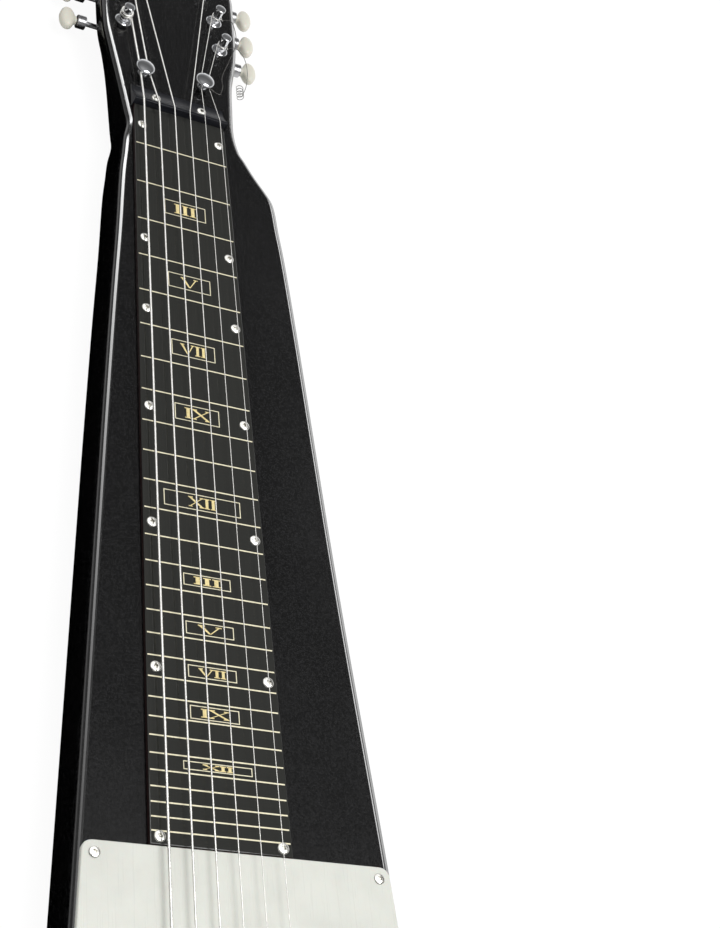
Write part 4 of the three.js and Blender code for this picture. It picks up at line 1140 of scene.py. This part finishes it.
def make_nut():
    top, depth, bottom = NUT[1].z, -NUT[0].x, FACE + SKIN
    outline = [(0, bottom), (0, top - 0.35), (-0.12, top - 0.12), (-0.35, top)]
    for share in (i / NUT_STEPS for i in range(NUT_STEPS + 1)):
        drop = (top - NUT_TOE) * (1 - share) ** 2
        outline.append((-NUT_RIDGE - (depth - NUT_RIDGE) * share, NUT_TOE + drop))
    outline.append((-depth, bottom))
    mesh = standing(outline[::-1], -NUT[1].y, NUT[1].y, 0.3, 3)
    seats = []
    for x, y, z in nut_screw_heads():
        seats += bores(SCREW_HEAD + 0.3, [(x, y)], z - SKIN, top + 2, 40)
    grooves = []
    for n in STRINGS:
        ends = [(x, string_y(n, x), STRING_Z) for x in (3, -depth - 3)]
        grooves.append(swept(ends, STRING_RADII[n] + 0.05))
    mesh = carved(mesh, [joined(*seats), joined(*grooves)])
    add_piece("nut_moulding", mesh, [PLASTIC], "black_plastic", ["nut"])


def eased_corner(before, corner, after, radius):
    """A bend with a small curve in place of its corner."""
    start = corner + (before - corner).normalized() * radius
    end = corner + (after - corner).normalized() * radius
    return bend(start, corner, end, 6)


def helix(radius, start, turn, rise, steps):
    """A circle's points with a height that grows along them."""
    ring = arc(radius, radius, start, turn, steps)
    return [(x, y, rise * i / steps) for i, (x, y) in enumerate(ring)]


def string_path(number):
    """A string's middle, from its anchor over saddle and nut to the turns on its post."""
    radius, post = STRING_RADII[number], POSTS[number]
    side = 1 if post.y > 0 else -1
    anchor_x = BRIDGE[1].x
    anchor_y = string_y(number, anchor_x)
    knots = [
        Vector((anchor_x + 1.5, anchor_y, ANCHOR_HEIGHT)),
        Vector((anchor_x - 3, anchor_y, ANCHOR_HEIGHT)),
        Vector((SCALE_LENGTH, string_y(number, SCALE_LENGTH), STRING_Z)),
        Vector((-0.8, string_y(number, 0), STRING_Z)),
    ]
    if number in RETAINER_PASSES:
        name, way = RETAINER_PASSES[number]
        x, y = RETAINERS[name].xy
        knots.append(Vector((x, y + way * (RETAINER_STEM + radius + 0.3), RETAINED_HEIGHT)))
    come_from = knots[-1].xy
    winding = POST_WAIST + SKIN + radius
    across = post.xy - come_from
    angle = math.atan2(across.y, across.x) + side * math.asin(winding / across.length)
    straight = math.sqrt(across.length_squared - winding**2)
    meet = come_from + Vector((math.cos(angle), math.sin(angle))) * straight
    start = math.atan2(meet.y - post.y, meet.x - post.x)
    foot = Vector((post.x, post.y, STRING_ARRIVAL))
    rise = (2 * radius + 0.06) * TURNS_ON_POST
    turn = -side * FULL_TURN * TURNS_ON_POST
    turns = [foot + Vector(point) for point in helix(winding, start, turn, rise, 70)]
    path = [knots[0]]
    trail = knots + [turns[0]]
    for before, corner, after in zip(trail, trail[1:], trail[2:]):
        path += eased_corner(before, corner, after, 1.2)
    path += turns
    leaving = (turns[-1] - turns[-2]).normalized()
    for i in range(1, 7):
        path.append(turns[-1] + leaving * i * 0.9 + Vector((0, 0, 0.05 * i * i)))
    return path


def make_strings():
    ball_profile = stacked(
        (0, (0, 0.5), (0.5, 0.3), (0.7, 0), (1.7, 0), (2, 0.3)),
        (3.4, (2, -0.3), (1.7, 0), (0.7, 0), (0, -0.5)),
    )
    for number in STRINGS:
        path = string_path(number)
        ball = turned(ball_profile, 24)
        moved(ball, BRIDGE[1].x + 0.1, path[0].y, path[0].z, ALONG_X)
        METAL_SEERS.objects.link(add_piece(
            "string_wire_%d" % number, joined(swept(path, STRING_RADII[number]), ball),
            [WOUND_WIRE if number >= FIRST_WOUND_STRING else WIRE],
            "string_steel", ["string_%d" % number], sharp=50,
        ))


def through(points, steps):
    """A smooth path through the points."""
    points = [Vector(point) for point in points]
    path = []
    for i, (here, there) in enumerate(zip(points, points[1:])):
        leave = (there - points[max(i - 1, 0)]) / 2
        arrive = (points[min(i + 2, len(points) - 1)] - here) / 2
        path += [between(here, there, leave, arrive, step / steps) for step in range(steps)]
    return path + [points[-1]]


def make_loose_ends():
    """What is left over past two posts: one end is wound up beside the edge, one is bent back."""
    turns = helix(COIL_RADIUS, QUARTER, COIL_TURNS * FULL_TURN, COIL_LENGTH, 90)
    coil = [COIL_START + Vector((-along, y, z)) for y, z, along in turns]
    down = [
        string_path(1)[-3], (-68, 38.5, 39.5), (-64, 44.5, 38), (-61, 50, 31), (-59.6, 54.2, 20), coil[0],
    ]
    back = [
        string_path(2)[-3], (-90, 37, 40.5), (-72, 38.6, 41), (-55, 33.5, 39.5), (-41, 28.6, 37.8),
        (-32.5, 28.4, 37.5), (-28, 27.6, 37.4), (-24.6, 26.2, 37), (-25.6, 22.6, 37), (-27.6, 18.6, 37.6),
    ]
    for number, path in ((1, through(down, 8) + coil[1:]), (2, through(back, 8))):
        mesh = swept(path, STRING_RADII[number], 8)
        # The loose ends take the darker wire, which paints them as shaded
        add_piece("string_end_%d" % number, mesh, [SHADED_END_WIRE], "string_steel", sharp=50)


make_nut()
make_strings()
make_loose_ends()


# Headstock hardware

GEAR_TEETH = 14
GEAR_ROOT = 5.4
GEAR_FLANK = 6.35
GEAR_TIP = 6.5
# One tooth of the gear: shares of its pitch, and the radius there
TOOTH = (
    (0, GEAR_ROOT), (0.08, GEAR_ROOT), (0.3, GEAR_FLANK), (0.38, GEAR_TIP),
    (0.62, GEAR_TIP), (0.7, GEAR_FLANK), (0.92, GEAR_ROOT),
)
WORM_THREADS = 3
WORM_LENGTH = 8
WORM_RADIUS = 1.85
WORM_Z = centre("tuner_worm_1").z
THREAD_DEPTH = 0.72
SHAFT_RADIUS = 1.6
MACHINE_SIDES = {"treble": (1, (1, 2, 3)), "bass": (-1, (4, 5, 6))}
PLATE_THICKNESS = 1.2
LUG_HALF = 3.6
BUTTON_LOW, BUTTON_HIGH = span("tuner_button_1")
BUTTON_HALF, BUTTON_LENGTH, BUTTON_THICK = Vector((0.5, 1, 0.5)) * (BUTTON_HIGH - BUTTON_LOW)
BUTTON_POWER = 2 / 2.6      # how square the button's oval is
# Shares of the button's length, and there its half width and half thickness as shares of the largest
BUTTON_STATIONS = (
    (0.0, 0.26, 0.52), (0.02, 0.30, 0.60), (0.10, 0.31, 0.62), (0.14, 0.36, 0.66), (0.20, 0.55, 0.76),
    (0.28, 0.78, 0.88), (0.38, 0.93, 0.97), (0.50, 1.0, 1.0), (0.62, 0.99, 1.0), (0.74, 0.90, 0.95),
    (0.84, 0.74, 0.83), (0.92, 0.54, 0.63), (0.97, 0.33, 0.40), (0.993, 0.16, 0.19),
)


def make_retainers():
    profile = [
        (0, -9), (1.8, -7.2), (1.8, SKIN), (3.2, SKIN), (3.2, 0.7), (3.0, 1.15), (2.5, 1.45), (1.8, 1.6),
        (1.8, 4.5), (2.1, 4.8), (5.6, 4.8), (5.9, 4.95), (6.0, 5.25), *dome(6.0, 5.6, 7.6),
    ]
    for side, place in RETAINERS.items():
        mesh = moved(turned(profile, 64), place.x, place.y, FACE)
        add_piece("retainer_" + side, mesh, [CHROME], "chromed_metal", ["string_retainer_" + side])


def gear_outline():
    points = []
    for tooth in range(GEAR_TEETH):
        for share, reach in TOOTH:
            angle = FULL_TURN * (tooth + share) / GEAR_TEETH
            points.append((reach * math.cos(angle), reach * math.sin(angle)))
    return points


def make_post(number):
    node = "tuner_post_%d" % number
    low, high = span(node)
    x, y = POSTS[number].xy
    gear_bottom = WORM_Z - 2
    profile = stacked(
        (low.z, (0, 0), (2.2, 0), (2.4, 0.2)), (gear_bottom, (2.4, 0.2), (3, 0.2)),
        (FACE, (3, 2.1), (2.85, 2.35), (POST_WAIST, 2.6)),
        (high.z, (POST_WAIST, -1.5), (2.85, -1.3), (3.3, -1.0), (3.3, -0.45), (3.1, -0.2), (2.6, 0), (0, 0)),
    )
    mesh = moved(turned(profile), x, y, 0)
    gear = moved(slab(gear_outline(), gear_bottom, WORM_Z + 2, 0.12, 2, rim=0.08), x, y, 0)
    mesh = carved(mesh, [gear], "UNION")
    rise = (2 * STRING_RADII[number] + 0.06) * TURNS_ON_POST
    hole_z = min(STRING_ARRIVAL + rise, high.z - 2.8)
    hole = moved(cylinder(0.85, -6, 6, 20), x, y, hole_z, ALONG_X)
    slot = moved(slab(box_points(-3, 3, -0.35, 0.35), low.z - 2, low.z + 0.6, 0.02, 1), x, y, 0)
    mesh = carved(mesh, [hole, slot])
    body = "tuner_string_post_%d" % number
    add_piece("string_post_%d" % number, mesh, [CHROME], "chromed_metal", [node], body)


def worm_ring(height, sides):
    """A ring round the worm, raised where the thread passes. The thread fades at both ends."""
    ring = []
    for i, (x, y) in enumerate(arc(1, 1, 0, FULL_TURN, sides)[:-1]):
        place = (height * WORM_THREADS / WORM_LENGTH - i / sides) % 1
        crest = min(max((0.5 - abs(place - 0.5)) * 4 - 0.55, 0), 1)
        fade = min(max((WORM_LENGTH / 2 - abs(height)) / 0.7, 0), 1)
        reach = WORM_RADIUS + THREAD_DEPTH * crest * fade
        ring.append(Vector((reach * x, reach * y, height)))
    return ring


def make_worm(number, side):
    node = "tuner_worm_%d" % number
    low, high = span(node)
    y = POSTS[number].y
    reach_in, reach_out = (y - low.y, high.y - y)[::side]
    collar_end = reach_out - BUTTON_LENGTH / 2
    half, sides, steps = WORM_LENGTH / 2, 40, 64
    inner = stacked(
        (-reach_in, (0, 0), (1.35, 0), (SHAFT_RADIUS, 0.3)), (-half, (SHAFT_RADIUS, 0), (WORM_RADIUS, 0)),
    )
    outer = stacked(
        (half, (WORM_RADIUS, 0), (SHAFT_RADIUS, 0)),
        (collar_end - 5.5, (SHAFT_RADIUS, 0), (3.9, 0), (4.2, 0.3)),
        (collar_end, (4.2, -0.3), (3.9, 0), (SHAFT_RADIUS, 0)), (reach_out, (SHAFT_RADIUS, 0), (0, 0)),
    )
    rings = [circle(radius, z, sides) for radius, z in inner]
    rings += [worm_ring(-half + WORM_LENGTH * i / steps, sides) for i in range(1, steps)]
    rings += [circle(radius, z, sides) for radius, z in outer]
    mesh = moved(loft(rings), centre(node).x, y, WORM_Z, (-side * QUARTER, "X"))
    add_piece("worm_shaft_%d" % number, mesh, [STEEL], "plain_steel", [node], "tuner_key_%d" % number)


def button_ring(height, wide, thick):
    """A squarish oval across the button."""
    return [
        Vector((math.copysign(abs(x) ** BUTTON_POWER, x) * wide,
                math.copysign(abs(y) ** BUTTON_POWER, y) * thick, height))
        for x, y in arc(1, 1, 0, FULL_TURN, 48)[:-1]
    ]


def make_button(number, side):
    node = "tuner_button_%d" % number
    low, high = span(node)
    rings = [
        button_ring(along * BUTTON_LENGTH, wide * BUTTON_HALF, thick * BUTTON_THICK)
        for along, wide, thick in BUTTON_STATIONS
    ]
    mesh = loft([[Vector((0, 0, 0))], *rings, [Vector((0, 0, BUTTON_LENGTH))]])
    moved(mesh, centre(node).x, low.y if side > 0 else high.y, WORM_Z, (-side * QUARTER, "X"))
    thing = add_object("button_%d" % number, mesh, [PEARL])
    smoother = thing.modifiers.new("Smooth", "SUBSURF")
    smoother.levels = smoother.render_levels = 1
    recorded(settled(thing), "cream_plastic", [node], "tuner_key_%d" % number, 50)


def lug_outline(low, high):
    """A tongue with a round end, hanging from the plate."""
    tongue = [(x, low + 3 + z) for x, z in arc(LUG_HALF, 3, math.pi, math.pi, 12)]
    return ([(LUG_HALF, high), (-LUG_HALF, high)] + tongue)[::-1]


def make_machine_plate(name):
    node = "tuner_plate_" + name
    low, high = span(node)
    bottom = high.z - PLATE_THICKNESS
    mesh = slab(around((low, high), 0, 2.5), bottom, HEAD_BACK - SKIN, 0.05, 1, 0.4)
    lugs, holes = [], []
    for number in MACHINE_SIDES[name][1]:
        post = POSTS[number]
        worm_x = centre("tuner_worm_%d" % number).x
        outline = [(worm_x + x, z) for x, z in lug_outline(low.z, bottom + 0.6)]
        inner, outer = WORM_LENGTH / 2 + 0.35, WORM_LENGTH / 2 + 1.75
        for near, far in ((-outer, -inner), (inner, outer)):
            lugs.append(standing(outline, post.y + near, post.y + far, 0.15, 1))
        holes += bores(POST_BORE, [post], bottom - 4, HEAD_BACK + 2)
        holes.append(moved(cylinder(1.75, -8, 8, 24), worm_x, post.y, WORM_Z, ALONG_Y))
    mesh = carved(mesh, [joined(*lugs)], "UNION")
    mesh = carved(mesh, [joined(*holes)])
    add_piece("machine_plate_" + name, mesh, [CHROME], "chromed_metal", [node])


def ferrule_mesh():
    """A pressed ring round a post."""
    profile = (
        (3.12, -1.5), (3.4, -1.5), (3.4, SKIN), (5.2, SKIN), (5.2, 0.25), (5.0, 0.5), (4.4, 0.8),
        (3.7, 0.95), (3.3, 0.9), (3.12, 0.7),
    )
    rings = [circle(radius, z, 48) for radius, z in profile]
    ring = loft(rings + [rings[0]], caps=False)
    bmesh.ops.remove_doubles(ring, verts=ring.verts, dist=WELD)
    bmesh.ops.recalc_face_normals(ring, faces=ring.faces)
    return ring


def make_headstock():
    make_retainers()
    for name, (side, numbers) in MACHINE_SIDES.items():
        make_machine_plate(name)
        for number in numbers:
            make_post(number)
            make_worm(number, side)
            make_button(number, side)
    places = [((post.x, post.y, FACE), (0, 0, 0), 1) for post in POSTS.values()]
    repeat("post_ferrules", ferrule_mesh(), places, CHROME, "chromed_metal")
    screws = []
    bottom = span("tuner_plate_treble")[1].z - PLATE_THICKNESS
    for name, (side, _) in MACHINE_SIDES.items():
        low, high = span("tuner_plate_" + name)
        y = low.y + 3.5 if side > 0 else high.y - 3.5
        screws += [(high.x - along, y, bottom - SKIN) for along in (4, 26, 51)]
    add_screws("machine_plate_screws", screws, 11, 9, 0.75, flip=math.pi)


make_headstock()


# Control plate, bridge, pickup, controls and jack

PLATE_CORNER = 6
PLATE_INSET = 3.4
PLATE_SCREW_INSET = 6
PLATE_SCREW_FIRST = PLATE[0].x + PLATE_SCREW_INSET
PLATE_SCREW_LAST = 608
POT_HOLE = 4.9
PLATE_GAP = 0.6
UNDER_PLATE, OVER_PLATE = FACE - 4, PLATE_TOP + 4       # where the plate's cutters end
CONTROLS = ("volume", "tone")
CHEEK_THICKNESS = 2.15
POLE_RADIUS = 2.38
KNOB_SKIRT = 9.5
FLUTES = 60
FLUTE = (0, 0.22, 0.3, 0.22)        # the depth of the grip at the points of one flute


def wall_y(outline, x, side):
    """Where an outline crosses a given X on one side."""
    own = sorted((p for p in outline if p.y * side > 0), key=lambda p: p.x)
    low = max((p for p in own if p.x <= x), key=lambda p: p.x)
    high = min((p for p in own if p.x > x), key=lambda p: p.x)
    return low.y + (high.y - low.y) * (x - low.x) / (high.x - low.x)


def make_control_plate():
    inside = inset(OUTLINE, PLATE_INSET)
    start, round_end = PLATE[0].x, PLATE[0].x + PLATE_CORNER
    treble, bass = wall_y(inside, round_end, 1), wall_y(inside, round_end, -1)
    limit = round_end + 0.5
    first = next(i for i, point in enumerate(inside) if inside[i - 1].x <= limit < point.x)
    outline = bend((round_end, treble), (start, treble), (start, treble - PLATE_CORNER))
    outline += bend((start, bass + PLATE_CORNER), (start, bass), (round_end, bass))
    outline += [point for point in inside[first:] + inside[:first] if point.x > limit]
    mesh = slab(outline, FACE + SKIN, PLATE_TOP, 0.5, 4, 0)
    openings = [
        slab(around(box, PLATE_GAP, radius), UNDER_PLATE, OVER_PLATE, 0.02, 1)
        for box, radius in ((PICKUP, 6 + PLATE_GAP), (BRIDGE, 4))
    ]
    pots = [centre(name + "_pot") for name in CONTROLS]
    edge = inset(OUTLINE, PLATE_INSET + PLATE_SCREW_INSET)
    screw_xs = (PLATE_SCREW_FIRST, (PLATE_SCREW_FIRST + PLATE_SCREW_LAST) / 2, PLATE_SCREW_LAST)
    places = [(x, wall_y(edge, x, side), PLATE_TOP + SKIN) for x in screw_xs for side in (-1, 1)]
    holes = bores(POT_HOLE, pots, UNDER_PLATE, OVER_PLATE, 48)
    holes += bores(SCREW_HOLE, places, UNDER_PLATE, OVER_PLATE, 16)
    mesh = carved(mesh, [*openings, joined(*holes)])
    add_piece("cream_control_plate", mesh, [CREAM], "cream_plastic", ["control_plate"])
    METAL_SEERS.objects.link(add_screws("plate_screws", places, 5, 11, 0.95))


def saddle_profile():
    """Half the saddle bar's length section, with a dip under each string."""
    radius, end = (SADDLE[1].z - SADDLE[0].z) / 2, SADDLE[1].y
    profile = [(0, -end), (radius - 0.4, -end), (radius, 0.4 - end)]
    for n in reversed(STRINGS):
        wire, y = STRING_RADII[n], string_y(n, SCALE_LENGTH)
        deep = max(wire - (STRING_Z - SADDLE[1].z), 0.05) + 0.06
        profile += [
            (radius, y - wire - 0.35), (radius - deep * 0.85, y - wire * 0.7), (radius - deep, y),
            (radius - deep * 0.85, y + wire * 0.7), (radius, y + wire + 0.35),
        ]
    return profile + [(radius, end - 0.4), (radius - 0.4, end), (0, end)]


def make_bridge():
    low, high = BRIDGE
    floor, floor_top = low.z - 0.3 + SKIN, low.z + 2
    base = slab(around(BRIDGE, 0, 2), floor, floor_top, 0.35, 3, 0)
    # The anchor wall and a cheek at each end of the saddle: their plans and their tops
    uprights = [((high.x - 3, high.x - 0.001, low.y + 4, high.y - 4, 0.6), high.z)]
    for side in (-1, 1):
        ends = sorted(side * (SADDLE[1].y + 0.15 + out) for out in (0, CHEEK_THICKNESS))
        uprights.append(((SCALE_LENGTH - 5, SCALE_LENGTH + 5, *ends, 0.5), low.z + 6))
    mesh = carved(base, [
        slab(rounded_box(*plan, 4), floor + 0.1, top, 0.5, 3) for plan, top in uprights
    ], "UNION")
    screws = [(x, side * (high.y - 5), floor_top + SKIN) for x in (low.x + 5, high.x - 8) for side in (-1, 1)]
    tools = bores(1.8, screws, floor - 4, floor_top + 3, 24)
    for n in STRINGS:
        hole = cylinder(STRING_RADII[n] + 0.3, -9, 9, 20)
        tools.append(moved(hole, high.x, string_y(n, high.x), ANCHOR_HEIGHT, ALONG_X))
    mesh = carved(mesh, [joined(*tools)])
    add_piece("bridge_plate", mesh, [CHROME], "chromed_metal", ["bridge_base"])
    add_screws("bridge_screws", screws, 3, 12, 0.9, CHROME)
    middle = centre("bridge_saddle")
    bar = moved(turned(saddle_profile()), middle.x, 0, middle.z, (-QUARTER, "X"))
    add_piece("saddle_bar", bar, [STEEL], "plain_steel", ["bridge_saddle"], sharp=25)


def make_pickup():
    low, high = PICKUP
    mesh = slab(around(PICKUP, 0, 6, 12), low.z, high.z, 0.9, 6, 0.2)
    inner = slab(around(PICKUP, -1.3, 4.7), low.z - 4, high.z - 1.3, 0.3, 2)
    middle = (low.x + high.x) / 2
    under_strings = [(middle, string_y(n, middle)) for n in STRINGS]
    holes = bores(POLE_RADIUS + 0.12, under_strings, high.z - 3, high.z + 3, 40)
    mesh = carved(mesh, [inner, joined(*holes)])
    add_piece("pickup_shell", mesh, [PLASTIC], "black_plastic", ["pickup_cover"])
    low, high = span("pickup_magnet_poles")
    plan = rounded_box(middle - 3.2, middle + 3.2, low.y, high.y, 0.6, 3)
    bar = slab(plan, low.z, low.z + 3.2, 0.2, 2)
    profile = stacked(
        (low.z, (0, 1.5), (POLE_RADIUS, 1.5)),
        (high.z, (POLE_RADIUS, -0.35), (2.3, -0.18), (2.05, -0.05), (1.6, 0), (0, 0)),
    )
    poles = [moved(turned(profile, 40), x, y, 0) for x, y in under_strings]
    mesh = carved(bar, [joined(*poles)], "UNION")
    add_piece("magnet_with_poles", mesh, [MAGNET], "magnet_and_poles", ["pickup_magnet_poles"])


def knob_ring(middle, radius, z, grip):
    """A ring round the knob, with flutes where there is a grip."""
    if radius == 0:
        return [Vector((middle.x, middle.y, z))]
    ring = []
    for i, (x, y) in enumerate(arc(1, 1, 0, FULL_TURN, FLUTES * len(FLUTE))[:-1]):
        reach = radius - FLUTE[i % len(FLUTE)] * grip
        ring.append(Vector((middle.x + reach * x, middle.y + reach * y, z)))
    return ring


def make_knob(name):
    node = name + "_knob"
    low, high = span(node)
    middle = centre(node)
    # Parts of the knob from its hollow to its top, and which of them have the grip
    parts = (
        (0, low.z, (0, 3.4), (7.2, 3.4), (7.2, 0)),
        (0, low.z, (9.3, 0), (KNOB_SKIRT, 0.2), (KNOB_SKIRT, 1.4), (9.3, 1.6)),
        (1, low.z, (9.3, 1.9)), (1, high.z, (9.1, -3.3)),
        (0, high.z, (9.0, -3.0), *dome(8.9, -2.9, 0, 10)[1:]),
    )
    mesh = loft([
        knob_ring(middle, radius, z, grip) for grip, *group in parts for radius, z in stacked(group)
    ])
    shaft = bores(3.3, [middle], low.z - 4, span(name + "_pot_shaft")[1].z + 0.3, 40)
    plan = rounded_box(middle.x - 14, middle.x - 3.2, middle.y - 0.6, middle.y + 0.6, 0.4, 4)
    mesh = carved(mesh, [*shaft, slab(plan, high.z - 3.3, high.z + 3, 0.02, 1)])
    add_piece(node + "_turned", mesh, [CHROME], "chromed_metal", [node], name + "_control", 30)


def make_jack():
    depth = JACK[1].x - JACK[0].x
    outer = (JACK[1].y - JACK[0].y) / 2
    mesh = on_jack_axis(
        (0, (0, 0), (7.9, 0), (8, 0.1)),
        (depth, (8, -1.6), (outer, -1.6), (outer, -0.5), (outer - 0.15, -0.25), (outer - 0.5, -0.1)),
        (depth, (7, -0.1), (6.7, -0.35), (5.6, -0.35), (5.3, 0), (3.9, 0), (3.45, -0.4), (3.45, -21), (0, -21)),
    )
    add_piece("jack_socket", mesh, [CHROME], "chromed_metal", ["output_jack"])


def finish_kept_nodes():
    """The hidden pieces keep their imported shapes."""
    finishes = {"enamelled_copper": COPPER, "plain_steel": STEEL, "brass_shaft": BRASS}
    for subpart in frame["record"]["subparts"]:
        material = finishes.get(subpart["material_slot"])
        if material:
            thing = frame["nodes"][subpart["node"]]
            thing.data.materials.clear()
            thing.data.materials.append(material)


make_control_plate()
make_bridge()
make_pickup()
for control in CONTROLS:
    make_knob(control)
make_jack()
finish_kept_nodes()

bpy.context.scene.view_settings.view_transform = "Standard"
